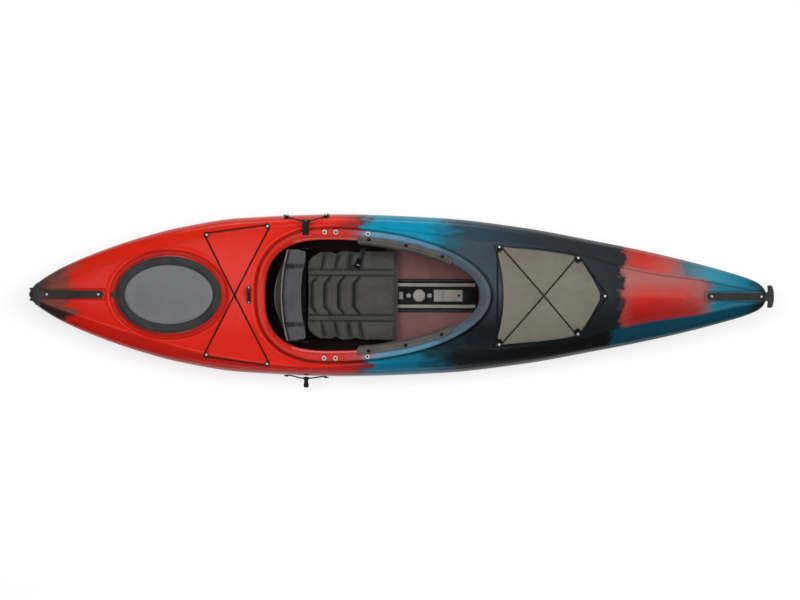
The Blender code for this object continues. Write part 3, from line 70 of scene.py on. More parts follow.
def smooth(points: Curve, x: float) -> float:
    """Reads the smooth curve through the points, without overshoot.

    Args:
        points: the curve's points, in order of their first number.
        x: where to read it.

    Returns:
        The curve's value at x.
    """
    x = min(max(x, points[0][0]), points[-1][0])
    steps = [(b[1] - a[1]) / (b[0] - a[0]) for a, b in zip(points, points[1:])]
    slopes = [steps[0]]
    for before, after in zip(steps, steps[1:]):
        slopes.append(2 * before * after / (before + after) if before * after > 0 else 0.0)
    slopes.append(steps[-1])
    index = next(i for i, b in enumerate(points[1:]) if x <= b[0])
    (x0, y0), (x1, y1) = points[index], points[index + 1]
    span = x1 - x0
    t = (x - x0) / span
    return (y0 * (1 + 2 * t) * (1 - t) ** 2 + y1 * t * t * (3 - 2 * t)
            + span * t * (1 - t) * (slopes[index] * (1 - t) - slopes[index + 1] * t))


def straight(points: Curve, x: float) -> float:
    """Reads the broken line through the points.

    Args:
        points: the line's points, in order of their first number.
        x: where to read it.

    Returns:
        The line's value at x.
    """
    x = min(max(x, points[0][0]), points[-1][0])
    index = next(i for i, b in enumerate(points[1:]) if x <= b[0])
    (x0, y0), (x1, y1) = points[index], points[index + 1]
    return y0 + (y1 - y0) * (x - x0) / (x1 - x0)


def bump(distance: float, width: float) -> float:
    """A bell that is 1 at no distance and fades over the width."""
    return exp(-(distance / width) ** 2)


def eased(low: float, high: float, x: float) -> float:
    """Rises smoothly from 0 at low to 1 at high."""
    t = min(max((x - low) / (high - low), 0.0), 1.0)
    return t * t * (3 - 2 * t)


def squared(v: float, flat: float, edge: float) -> Point:
    """Goes round a section with soft corners.

    Args:
        v: the share of the way round.
        flat: the power that squares it across, 1 being round.
        edge: the power that squares it upward.

    Returns:
        How far across and how far up, from -1 to 1.
    """
    across, up = cos(2 * pi * v), sin(2 * pi * v)
    return copysign(abs(across) ** flat, across), copysign(abs(up) ** edge, up)


# Finishes


def linear(code: str) -> Colour:
    """Turns an sRGB hex colour to linear values.

    Args:
        code: six hex digits.

    Returns:
        Red, green and blue in linear light, and full opacity.
    """
    parts = [int(code[i:i + 2], 16) / 255 for i in (0, 2, 4)]
    red, green, blue = (c / 12.92 if c <= 0.04045 else ((c + 0.055) / 1.055) ** 2.4 for c in parts)
    return red, green, blue, 1.0


def feed(tree: bpy.types.NodeTree, node: bpy.types.Node, inputs: dict) -> None:
    """Sets or links a node's inputs.

    Args:
        tree: the material's node tree.
        node: the node.
        inputs: for each input, by name or number, a value or the socket it is linked from.
    """
    for key, value in inputs.items():
        if isinstance(value, Socket):
            tree.links.new(value, node.inputs[key])
        else:
            node.inputs[key].default_value = value


def add_node(tree: bpy.types.NodeTree, kind: str, *ordered: object, named: Optional[dict] = None,
             out: int | str = 0, stops: Stops = (), **settings: object) -> Socket:
    """Adds a node with its settings and links.

    Args:
        tree: the material's node tree.
        kind: the node's type, after ShaderNode.
        ordered: its first inputs in their order, each a value or the socket it is linked from.
        named: its other inputs, by name or number.
        out: the output that is asked for.
        stops: a colour ramp's places from 0 to 1, each with its hex colour.
        settings: the node's own properties.

    Returns:
        The output's socket.
    """
    node = tree.nodes.new("ShaderNode" + kind)
    for key, value in settings.items():
        setattr(node, key, value)
    feed(tree, node, {**dict(enumerate(ordered)), **(named or {})})
    if stops:
        elements = node.color_ramp.elements
        while len(elements) < len(stops):
            elements.new(0.5)
        for element, (place, code) in zip(elements, stops):
            element.position, element.color = place, linear(code)
    return node.outputs[out]


def spots(scale: float, detail: float = 2.0) -> dict:
    """A noise's inputs, for so many spots to the metre and so many finer layers."""
    return {"Scale": scale, "Detail": detail, "Roughness": 0.6}


@dataclass(frozen=True)
class Finish:
    """What every finish has: its name, its gloss and a way to paint it."""

    name: str
    roughness: float
    ior: float = 1.5

    def paint(self, add: Add) -> dict:
        """Adds the finish's own nodes.

        Args:
            add: adds a node.

        Returns:
            The shader's inputs.
        """
        raise NotImplementedError

    def material(self) -> bpy.types.Material:
        """Makes the finish's material, once.

        Returns:
            The material.
        """
        if self.name not in MADE:
            made = MADE[self.name] = bpy.data.materials.new(self.name)
            made.use_nodes = True
            tree = made.node_tree
            skin = self.paint(partial(add_node, tree))
            feed(tree, tree.nodes["Principled BSDF"],
                 {"Roughness": self.roughness, "IOR": self.ior, **skin})
        return MADE[self.name]


@dataclass(frozen=True)
class MarbledPolyethylene(Finish):
    """Rotomoulded polyethylene: powders of several colours melt side by side in the mould, so
    that the colours run into each other in streaks along the boat, under a satin skin with fine
    pits."""

    crown: Stops = ()
    port: Stops = ()
    starboard: Stops = ()
    tints: Sequence[tuple] = ()
    reach: float = 1.6

    def stops(self, zones: Stops) -> Stops:
        """Places on the boat turned to places on a ramp."""
        return [((x + self.reach) / (2 * self.reach), code) for x, code in zones]

    def paint(self, add: Add) -> dict:
        """Adds the running colours, their streaks, the painted shade and sheen on the sides and in the
        grooves, and the skin's pits.

        Args:
            add: adds a node.

        Returns:
            The shader's inputs.
        """
        place = add("TexCoord", out="Object")
        parts = add("SeparateXYZ", place).node.outputs
        along, across = parts["X"], parts["Y"]
        stretched = add("Mapping", place, named={"Scale": (0.7, 2.4, 2.4)})
        streaks = add("TexNoise", stretched, named={"Scale": 7.0, "Detail": 6.0, "Roughness": 0.66})
        ragged = add("TexNoise", place, named=spots(24.0, 5.0))
        # The powders run far where the mould was turned longest, and hardly at the bow
        spread = add("MapRange", along, 0.3, 0.75, 0.4, 0.05)
        drift = add("Math", add("Math", streaks, 0.5, operation="SUBTRACT"), spread,
                    operation="MULTIPLY")
        fray = add("Math", add("Math", ragged, 0.5, operation="SUBTRACT"), 0.1, operation="MULTIPLY")
        moved = add("Math", add("Math", along, drift, operation="ADD"), fray, operation="ADD")
        share = add("MapRange", moved, -self.reach, self.reach)
        colour = add("ValToRGB", share, stops=self.stops(self.crown))
        for code, beside, start, stop in self.tints:
            amount = add("Math", add("MapRange", across, *beside), add("MapRange", moved, *start),
                         operation="MULTIPLY")
            amount = add("Math", amount, add("MapRange", moved, *stop), operation="MULTIPLY")
            colour = add("Mix", amount, named={6: colour, 7: linear(code)}, out=2, data_type="RGBA")
        # Each side's band takes its own ramp; the starboard one is painted darker, as shade on the
        # side away from the light
        if self.port:
            band = add("Attribute", out="Fac", attribute_name="band")
            for zones, way in ((self.port, 1.0), (self.starboard, -1.0)):
                on_side = add("Math", band, way, fray, operation="MULTIPLY_ADD", use_clamp=True)
                painted = add("ValToRGB", share, stops=self.stops(zones))
                colour = add("Mix", on_side, named={6: colour, 7: painted}, out=2, data_type="RGBA")
        value = add("MapRange", add("TexNoise", place, named=spots(22.0, 4.0)), 0.25, 0.75, 0.92, 1.06)
        toned = add("HueSaturation", named={"Value": value, "Color": colour})
        # Painted shade in the grooves and hollows and along the port crease, where the piece's own
        # attribute says so
        recess = add("Attribute", out="Fac", attribute_name="recess")
        darker = add("Math", recess, -0.62, 1.0, operation="MULTIPLY_ADD")
        scuffs = add("MapRange", add("TexNoise", place, named=spots(60.0, 4.0)), 0.3, 0.8,
                     self.roughness - 0.03, self.roughness + 0.05)
        pits = add("TexNoise", place, named=spots(180.0))
        return {"Base Color": add("HueSaturation", named={"Value": darker, "Color": toned}),
                "Roughness": scuffs,
                "Normal": add("Bump", named={"Height": pits, "Distance": 0.00008, "Strength": 0.35})}


@dataclass(frozen=True)
class MouldedPlastic(Finish):
    """Injection-moulded or unpainted moulded plastic: one colour with slight clouds and a fine
    spark-eroded grain that breaks up its shine. The grain is drawn coarser than life, to show."""

    dark: str = "141516"
    light: str = "1C1D1F"
    grain_mm: float = 1.6
    clouds: float = 14.0
    depth: float = 0.00012

    def paint(self, add: Add) -> dict:
        """Adds the clouds and the grain.

        Args:
            add: adds a node.

        Returns:
            The shader's inputs.
        """
        place = add("TexCoord", out="Object")
        clouds = add("TexNoise", place, named=spots(self.clouds, 3.0))
        fine = add("TexNoise", place, named=spots(1000 / self.grain_mm))
        return {"Base Color": add("ValToRGB", clouds, stops=((0.3, self.dark), (0.7, self.light))),
                "Roughness": add("MapRange", clouds, 0.2, 0.8, self.roughness - 0.05,
                                 self.roughness + 0.06),
                "Normal": add("Bump", named={"Height": fine, "Distance": self.depth, "Strength": 0.7})}


@dataclass(frozen=True)
class MouldedInside(MouldedPlastic):
    """The raw inside of the rotomoulded shell: matt, and painted nearly black behind the seat's front,
    as shade deep in the cockpit."""

    zones: Curve = ((-0.06, 0.06), (0.004, 1.0))

    def paint(self, add: Add) -> dict:
        """Adds the moulding's clouds and grain, and the painted shade aft.

        Args:
            add: adds a node.

        Returns:
            The shader's inputs.
        """
        skin = super().paint(add)
        along = add("SeparateXYZ", add("TexCoord", out="Object"), out="X")
        # Painted shade: the colour falls to nearly black aft of the seat's front
        (aft, low), (fore, high) = self.zones
        value = add("MapRange", along, aft, fore, low, high)
        toned = add("HueSaturation", named={"Value": value, "Color": skin["Base Color"]})
        return {**skin, "Base Color": toned}


@dataclass(frozen=True)
class RubberMoulding(MouldedPlastic):
    """Moulded rubber: nearly black, with a soft wide sheen and greyish bloom in its clouds."""

    sheen: float = 0.15

    def paint(self, add: Add) -> dict:
        """Adds the moulding's clouds and grain, and a rubber's sheen."""
        return {**super().paint(add), "Sheen Weight": self.sheen, "Sheen Roughness": 0.4}


@dataclass(frozen=True)
class ClosedCellFoam(Finish):
    """Closed-cell foam with a skived face: matt, with open pits as fine as felt."""

    dark: str = "4A4844"
    light: str = "5B5954"
    cell_mm: float = 2.2

    def paint(self, add: Add) -> dict:
        """Adds the cells and the foam's clouds.

        Args:
            add: adds a node.

        Returns:
            The shader's inputs.
        """
        place = add("TexCoord", out="Object")
        cells = add("TexVoronoi", place, named={"Scale": 1000 / self.cell_mm}, out="Distance")
        clouds = add("TexNoise", place, named=spots(18.0, 5.0))
        return {"Base Color": add("ValToRGB", clouds, stops=((0.3, self.dark), (0.7, self.light))),
                "Normal": add("Bump", named={"Height": cells, "Distance": 0.0002, "Strength": 0.6})}


@dataclass(frozen=True)
class WovenCloth(Finish):
    """Plain-woven nylon on padding: two sets of threads cross, and dust and rubbing make it paler
    in clouds. The threads are drawn 2 to 3 mm apart, coarser than life, so that they show."""

    dark: str = "363634"
    light: str = "474745"
    thread_mm: float = 2.6
    sheen: float = 0.25

    def paint(self, add: Add) -> dict:
        """Adds the threads, the clouds, the cloth's sheen, the painted shade along its seams and a
        painted highlight beside them.

        Args:
            add: adds a node.

        Returns:
            The shader's inputs.
        """
        place = add("TexCoord", out="Object")
        threads = {"Scale": 314 / self.thread_mm, "Distortion": 0.6, "Detail": 1.0}
        waves = [add("TexWave", place, named=threads, out="Fac", bands_direction=way) for way in "XY"]
        weave = add("Math", *waves, operation="MULTIPLY")
        clouds = add("TexNoise", place, named=spots(13.0, 5.0))
        tone = add("Math", weave, 0.18, clouds, operation="MULTIPLY_ADD")
        colour = add("ValToRGB", tone, stops=((0.35, self.dark), (0.8, self.light)))
        # Painted shade in the seams, and a painted highlight on the padding that swells beside them
        recess = add("Attribute", out="Fac", attribute_name="recess")
        darker = add("Math", recess, -0.86, 1.0, operation="MULTIPLY_ADD")
        return {"Base Color": add("HueSaturation", named={"Value": darker, "Color": colour}),
                "Sheen Weight": self.sheen,
                "Normal": add("Bump", named={"Height": weave, "Distance": 0.0003, "Strength": 0.5})}


@dataclass(frozen=True)
class RibbedWebbing(Finish):
    """Woven webbing or piping tape: ribs run across the band, with a darker selvedge feel."""

    dark: str = "121315"
    light: str = "26282B"
    rib_mm: float = 2.0

    def paint(self, add: Add) -> dict:
        """Adds ribs on the piece's own map, whose numbers are metres.

        Args:
            add: adds a node.

        Returns:
            The shader's inputs.
        """
        place = add("UVMap", uv_map="UVMap")
        ribs = add("TexWave", place, named={"Scale": 314 / self.rib_mm, "Distortion": 0.4}, out="Fac")
        clouds = add("TexNoise", add("TexCoord", out="Object"), named=spots(40.0, 3.0))
        tone = add("Math", ribs, 0.35, clouds, operation="MULTIPLY_ADD")
        return {"Base Color": add("ValToRGB", tone, stops=((0.4, self.dark), (0.9, self.light))),
                "Sheen Weight": 0.2,
                "Normal": add("Bump", named={"Height": ribs, "Distance": 0.0003, "Strength": 0.6})}


@dataclass(frozen=True)
class BraidedCord(Finish):
    """Braided polyester sleeve over rubber strands: carriers cross in a fine chevron. The braid is
    drawn 4 mm long, twice life, so that it shows."""

    dark: str = "060607"
    light: str = "141516"
    pitch_mm: float = 4.0

    def paint(self, add: Add) -> dict:
        """Adds two sets of strands that wind opposite ways.

        Args:
            add: adds a node.

        Returns:
            The shader's inputs.
        """
        place = add("UVMap", uv_map="UVMap")
        strands = []
        for turn in (1.0, -1.0):
            skewed = add("Mapping", place, named={"Rotation": (0, 0, turn * radians(40))})
            strands.append(add("TexWave", skewed, named={"Scale": 314 / self.pitch_mm}, out="Fac"))
        braid = add("Math", *strands, operation="MAXIMUM")
        return {"Base Color": add("ValToRGB", braid, stops=((0.3, self.dark), (0.7, self.light))),
                "Normal": add("Bump", named={"Height": braid, "Distance": 0.0003, "Strength": 0.6})}


@dataclass(frozen=True)
class TurnedSteel(Finish):
    """Stainless steel screws and pins: cold headed and tumbled, so bright with a soft scratch."""

    colour: str = "C6C7C8"
    worn: str = "B4B5B6"
    # Below 1, the pale colour shows through as a painted reflection
    bare: float = 1.0

    def paint(self, add: Add) -> dict:
        """Adds the metal, its clouds and the tumbling's scratches.

        Args:
            add: adds a node.

        Returns:
            The shader's inputs.
        """
        place = add("TexCoord", out="Object")
        clouds, fine = (add("TexNoise", place, named=spots(scale)) for scale in (160.0, 700.0))
        return {"Base Color": add("ValToRGB", clouds, stops=((0.3, self.worn), (0.7, self.colour))),
                "Metallic": self.bare,
                "Normal": add("Bump", named={"Height": fine, "Distance": 0.0001, "Strength": 0.5})}


@dataclass(frozen=True)
class StudioFloor(Finish):
    """Plain pale floor, white to the camera, that keeps a soft shadow."""

    def paint(self, add: Add) -> dict:
        """Makes the floor pale, with the last step to white seen only by the camera.

        Args:
            add: adds a node.

        Returns:
            The shader's inputs.
        """
        clouds = add("TexNoise", add("TexCoord", out="Object"), named=spots(3.0))
        path = add("LightPath").node.outputs
        seen = add("Math", path["Is Camera Ray"], path["Is Glossy Ray"], operation="MAXIMUM")
        seen = add("Math", seen, path["Is Transmission Ray"], operation="MAXIMUM")
        return {"Base Color": add("ValToRGB", clouds, stops=((0.3, "A2A2A2"), (0.7, "A6A6A6"))),
                "Specular IOR Level": 0.0, "Emission Color": linear("FFFFFF"),
                "Emission Strength": add("Math", seen, 0.7, operation="MULTIPLY")}


HULL = MarbledPolyethylene(
    "marbled_polyethylene", 0.22, 1.5,
    crown=((-1.6, "3A2F2C"), (-1.5, "74443C"), (-1.43, "84392E"), (-1.4, "D01E0E"), (-0.33, "D82414"),
           (-0.2, "B42018"), (-0.155, "6E3442"), (-0.13, "0590B2"), (0.12, "058AAC"), (0.22, "24606F"),
           (0.3, "3E4A54"), (0.6, "343C44"), (0.9, "2C3136"), (0.968, "282B2E"), (0.982, "A43C36"),
           (1.05, "C0221A"), (1.24, "B4302A"), (1.34, "84585A"), (1.37, "1E7890"), (1.53, "0E6682"),
           (1.57, "22303A"), (1.6, "1A1C1F")),
    port=((-1.6, "3A2F2C"), (-1.45, "74443C"), (-1.4, "D0200C"), (-0.3, "E0260E"), (-0.2, "A42A20"),
          (-0.15, "5E3238"), (-0.1, "0590B2"), (0.14, "058AAC"), (0.24, "2C4856"), (0.6, "2C3238"),
          (0.975, "2A2D30"), (0.99, "A4443E"), (1.06, "C2382E"), (1.17, "B8544C"), (1.25, "5A6C78"),
          (1.36, "3C8CA4"), (1.52, "126E88"), (1.57, "22303A")),
    # The starboard ramp is painted darker than the port one, as shade on the side away from the light
    starboard=((-1.6, "1E1A1A"), (-1.43, "301E1E"), (-1.38, "BC160A"), (-0.6, "B0140C"),
               (-0.26, "A8140C"), (-0.15, "5A2C3A"), (-0.12, "046482"), (0.1, "045E7A"),
               (0.24, "12181C"), (0.5, "08090A"), (0.91, "060708"), (0.94, "04384A"), (1.5, "043A4C"),
               (1.57, "14181C")),
    # Painted sheen makes the port side of the bow's red paler; painted shade darkens the starboard
    # side amidships nearly to black and deepens the red past it
    tints=(("B07672", (0.0, 0.07), (0.96, 0.98), (1.3, 1.36, 0.75, 0.0)),
           ("0A0B0C", (0.06, -0.14), (-0.14, 0.3), (0.965, 0.955, 0.0, 0.9)),
           ("8C0C0A", (0.0, -0.09, 0.0, 0.6), (0.98, 1.02), (1.28, 1.34, 1.0, 0.0))))
COAMING = MarbledPolyethylene(
    "marbled_coaming", 0.15, 1.5,
    crown=((-0.62, "C8281A"), (-0.25, "BE2A20"), (-0.17, "9C4A4E"), (-0.12, "6488A0"),
           (0.06, "52809C"), (0.2, "4A6070"), (0.42, "4A5056")))
INSIDE = MouldedInside("polyethylene_inside", 0.6, 1.5, "6E4A48", "80585A", 3.0, 9.0, 0.0002)
RUBBER = RubberMoulding("moulded_rubber", 0.45, 1.52, "29292A", "363737", 1.8)
STRAP_RUBBER = RubberMoulding("strap_rubber", 0.55, 1.52, "262524", "343231", 1.8)
HATCH_SHEET = MouldedPlastic("grained_hatch_plate", 0.48, 1.5, "66676B", "707175", 2.4, 7.0, 0.0002)
BLACK_NYLON = MouldedPlastic("glass_filled_nylon", 0.42, 1.53, "0F1011", "191A1B", 1.5, 20.0)
GREY_NYLON = MouldedPlastic("grey_nylon", 0.45, 1.53, "4B4C4E", "5A5B5D", 1.6, 20.0)
PALE_ACETAL = MouldedPlastic("pale_acetal", 0.4, 1.48, "827E76", "938E86", 1.8, 20.0)
BRACE_FOAM = ClosedCellFoam("ribbed_brace_foam", 0.75, 1.45, "4E4D49", "5E5C57", 2.4)
PAD_FOAM = WovenCloth("deck_pad_foam", 0.86, 1.45, "6F6A60", "7D776C", 3.2, 0.1)
BULKHEAD_FOAM = ClosedCellFoam("bulkhead_cell_foam", 0.9, 1.45, "3A3A3B", "48484A", 3.5)
SEAT_CLOTH = WovenCloth("seat_cloth", 0.78, 1.5, "42413F", "53524F", 2.6, 0.25)
BACK_CLOTH = WovenCloth("backrest_cloth", 0.78, 1.5, "444347", "56545A", 2.6, 0.3)
WEBBING = RibbedWebbing("nylon_webbing", 0.7, 1.5)
PIPING = RibbedWebbing("edge_piping", 0.65, 1.5, "6E5A58", "8C7674", 2.4)
SEAT_PIPING = RibbedWebbing("seat_piping_webbing", 0.65, 1.5, "4A2A2A", "5E3838", 2.4)
CORD = BraidedCord("braided_shock_cord", 0.72, 1.5)
# Partly metallic, so that its pale colour shows as a painted reflection of a bright studio
STEEL = TurnedSteel("tumbled_steel", 0.36, colour="F2F2F2", worn="E2E2E2", bare=0.45)
SHELL_CLOTH = WovenCloth("back_shell_cloth", 0.75, 1.5, "262627", "353536", 3.0, 0.3)
BLACK_SCREW = MouldedPlastic("black_oxide", 0.35, 1.6, "0A0A0B", "121213", 1.5, 30.0)
DARK_STEEL = TurnedSteel("blackened_steel", 0.4, colour="4A4A4C", worn="2E2E30")
FLOOR = StudioFloor("studio_floor", 0.9)


# Making pieces


def lay(steps_u: int, steps_v: int, place: Place, closed: Closed = Closed.NEITHER,
        size: Point = (1.0, 1.0), outward: Optional[Vector] = None) -> Mesh:
    """Lays a grid of faces over a surface.

    Args:
        steps_u: faces along it.
        steps_v: faces across it, or round it.
        place: gives the point at two shares from 0 to 1.
        closed: whether it meets itself round, or both ways.
        size: its real length and breadth in metres, for the map of its cloth.
        outward: for an open surface, a way that its faces look.

    Returns:
        The surface, with its map.
    """
    bm = bmesh.new()
    uv = bm.loops.layers.uv.new("UVMap")
    bmesh.ops.create_grid(bm, x_segments=steps_u, y_segments=steps_v, size=0.5, calc_uvs=True)
    for face in bm.faces:
        for loop in face.loops:
            loop[uv].uv = (loop[uv].uv.x * size[0], loop[uv].uv.y * size[1])
    for vert in bm.verts:
        u = min(max(vert.co.x + 0.5, 0.0), 1.0)
        v = min(max(vert.co.y + 0.5, 0.0), 1.0)
        vert.co = place(u, v)
    if closed is not Closed.NEITHER:
        bmesh.ops.remove_doubles(bm, verts=bm.verts[:], dist=2e-6)
    if closed is Closed.AROUND:
        rims = [edge for edge in bm.edges if edge.is_boundary]
        if rims:
            bmesh.ops.holes_fill(bm, edges=rims, sides=0)
    bmesh.ops.recalc_face_normals(bm, faces=bm.faces[:])
    if outward is not None:
        if sum((face.normal.dot(outward) for face in bm.faces), 0.0) < 0:
            bmesh.ops.reverse_faces(bm, faces=bm.faces[:])
    return bm


def add_piece(name: str, bm: Mesh, finish: Finish, body: str,
              replaces: Sequence[str] = (), sharp: float = 50.0,
              matrix: Optional[Matrix] = None) -> Piece:
    """Turns a built surface into a named piece that rides on a body.

    Args:
        name: the piece's name.
        bm: its surface, which is used up.
        finish: what it is made of.
        body: the body that it moves with.
        replaces: the CAD nodes that it stands for.
        sharp: the angle in degrees from which an edge stays sharp.
        matrix: where it goes, if it was built elsewhere.

    Returns:
        The piece.
    """
    if matrix is not None:
        bmesh.ops.transform(bm, matrix=matrix, verts=bm.verts[:])
    mesh = bpy.data.meshes.new(name)
    bm.to_mesh(mesh)
    bm.free()
    mesh.shade_smooth()
    mesh.set_sharp_from_angle(angle=radians(sharp))
    mesh.materials.append(finish.material())
    piece = bpy.data.objects.new(name, mesh)
    bpy.context.scene.collection.objects.link(piece)
    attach(piece, body)
    if replaces:
        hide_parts(*replaces)
    LOG.info("%s on %s, %d faces, %s", name, body, len(mesh.polygons), finish.name)
    return piece


def dress(finish: Finish, *nodes: str) -> None:
    """Gives CAD nodes that stay a finish of their own.

    Args:
        finish: what they are made of.
        nodes: their names.
    """
    for name in nodes:
        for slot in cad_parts[name].material_slots:
            slot.material = finish.material()
        LOG.info("%s keeps its CAD shape, %s", name, finish.name)


def surface_of(piece: Piece) -> BVHTree:
    """The piece's surface, for rays to meet."""
    return BVHTree.FromPolygons([v.co for v in piece.data.vertices],
                                [tuple(p.vertices) for p in piece.data.polygons])


def swept(path: Sequence[Vector], radius: float, sides: int = 10) -> Mesh:
    """A round cord along a path, with closed ends.

    Args:
        path: the points on its centreline.
        radius: its radius.
        sides: faces round it.

    Returns:
        The cord's surface, whose map is in metres.
    """
    ways = [(path[min(i + 1, len(path) - 1)] - path[max(i - 1, 0)]).normalized()
            for i in range(len(path))]
    across = ways[0].orthogonal().normalized()
    frames = []
    for way in ways:
        across = (across - way * across.dot(way)).normalized()
        frames.append((across, way.cross(across)))
    length = sum((b - a).length for a, b in zip(path, path[1:]))

    def place(u: float, v: float) -> Vector:
        """A point of the cord.

        Args:
            u: its share of the way over the rows.
            v: its share of the way round or across them.

        Returns:
            The point.
        """
        index = round(u * (len(path) - 1))
        first, second = frames[index]
        angle = 2 * pi * v
        return path[index] + (first * cos(angle) + second * sin(angle)) * radius

    return lay(len(path) - 1, sides, place, Closed.AROUND, (length, 2 * pi * radius))


def ribbon(path: Sequence[Vector], ups: Sequence[Vector], width: float,
           thick: float) -> Mesh:
    """A flat band along a path, with soft edges.

    Args:
        path: the points on its middle line.
        ups: its face's way at each point.
        width: its breadth.
        thick: its thickness.

    Returns:
        The band's surface, whose map is in metres.
    """
    count = len(path) - 1
    sides = []
    for i, up in enumerate(ups):
        way = (path[min(i + 1, count)] - path[max(i - 1, 0)]).normalized()
        sides.append((way.cross(up).normalized(), up.normalized()))
    length = sum((b - a).length for a, b in zip(path, path[1:]))

    def place(u: float, v: float) -> Vector:
        """A point of the band."""
        across, up = sides[round(u * count)]
        out, rise = squared(v, 0.35, 0.5)
        return path[round(u * count)] + across * (out * width / 2) + up * (rise * thick / 2)

    return lay(count, 16, place, Closed.AROUND, (length, 2 * width))


def spline(knots: Sequence[Vector], steps: int) -> list[Vector]:
    """Points along a smooth curve through the knots.

    Args:
        knots: the points that it passes.
        steps: points from one knot to the next.

    Returns:
        The curve's points.
    """
    points = []
    for i in range(len(knots) - 1):
        before, a = knots[max(i - 1, 0)], knots[i]
        b, after = knots[i + 1], knots[min(i + 2, len(knots) - 1)]
        span = (b - a).length
        enter = (b - before).normalized() * span
        leave = (after - a).normalized() * span
        for j in range(steps):
            t = j / steps
            points.append(a * (1 + 2 * t) * (1 - t) ** 2 + b * t * t * (3 - 2 * t)
                          + enter * t * (1 - t) ** 2 - leave * t * t * (1 - t))
    return points + [knots[-1].copy()]


def turned(profile: Sequence[Point], sides: int = 28,
           plan: Callable[[float], float] = lambda angle: 1.0) -> Mesh:
    """A round piece about Z from its half profile.

    Args:
        profile: radius and height pairs, from the middle of its top to its foot.
        sides: faces round it.
        plan: how far it reaches at an angle, as a share of its radius.

    Returns:
        The piece's surface.
    """
    count = len(profile) - 1

    def place(u: float, v: float) -> Vector:
        """A point of the piece.

        Args:
            u: its share of the way over the rows.
            v: its share of the way round or across them.

        Returns:
            The point.
        """
        radius, height = profile[round(u * count)]
        angle = 2 * pi * v
        reach = radius * (plan(angle) if radius > 0.0055 else 1.0)
        return Vector((reach * cos(angle), reach * sin(angle), height))

    return lay(count, sides, place, Closed.AROUND)


def boxed(low: Spot, high: Spot, round_by: float = 0.0008) -> Mesh:
    """A block with rounded edges.

    Args:
        low: its lowest corner.
        high: its highest corner.
        round_by: the radius of its edges.

    Returns:
        The block's surface.
    """
    bm = bmesh.new()
    bmesh.ops.create_cube(bm, size=1.0)
    for vert in bm.verts:
        vert.co = Vector((l + (h - l) * (c + 0.5) for l, h, c in zip(low, high, vert.co)))
    bmesh.ops.bevel(bm, geom=bm.edges[:], offset=round_by, segments=2, affect="EDGES", profile=0.5,
                    material=-1)
    return bm


def standing(place: Vector, normal: Vector, toward: Vector = Vector((1, 0, 0))) -> Matrix:
    """The matrix that stands a piece built about Z on a surface.

    Args:
        place: where its foot goes.
        normal: the surface's way out.
        toward: the way that its X looks.

    Returns:
        The matrix.
    """
    z = normal.normalized()
    x = (toward - z * toward.dot(z)).normalized()
    turn = Matrix((x, z.cross(x), z)).transposed()
    return Matrix.Translation(place) @ turn.to_4x4()


# The boat's lines


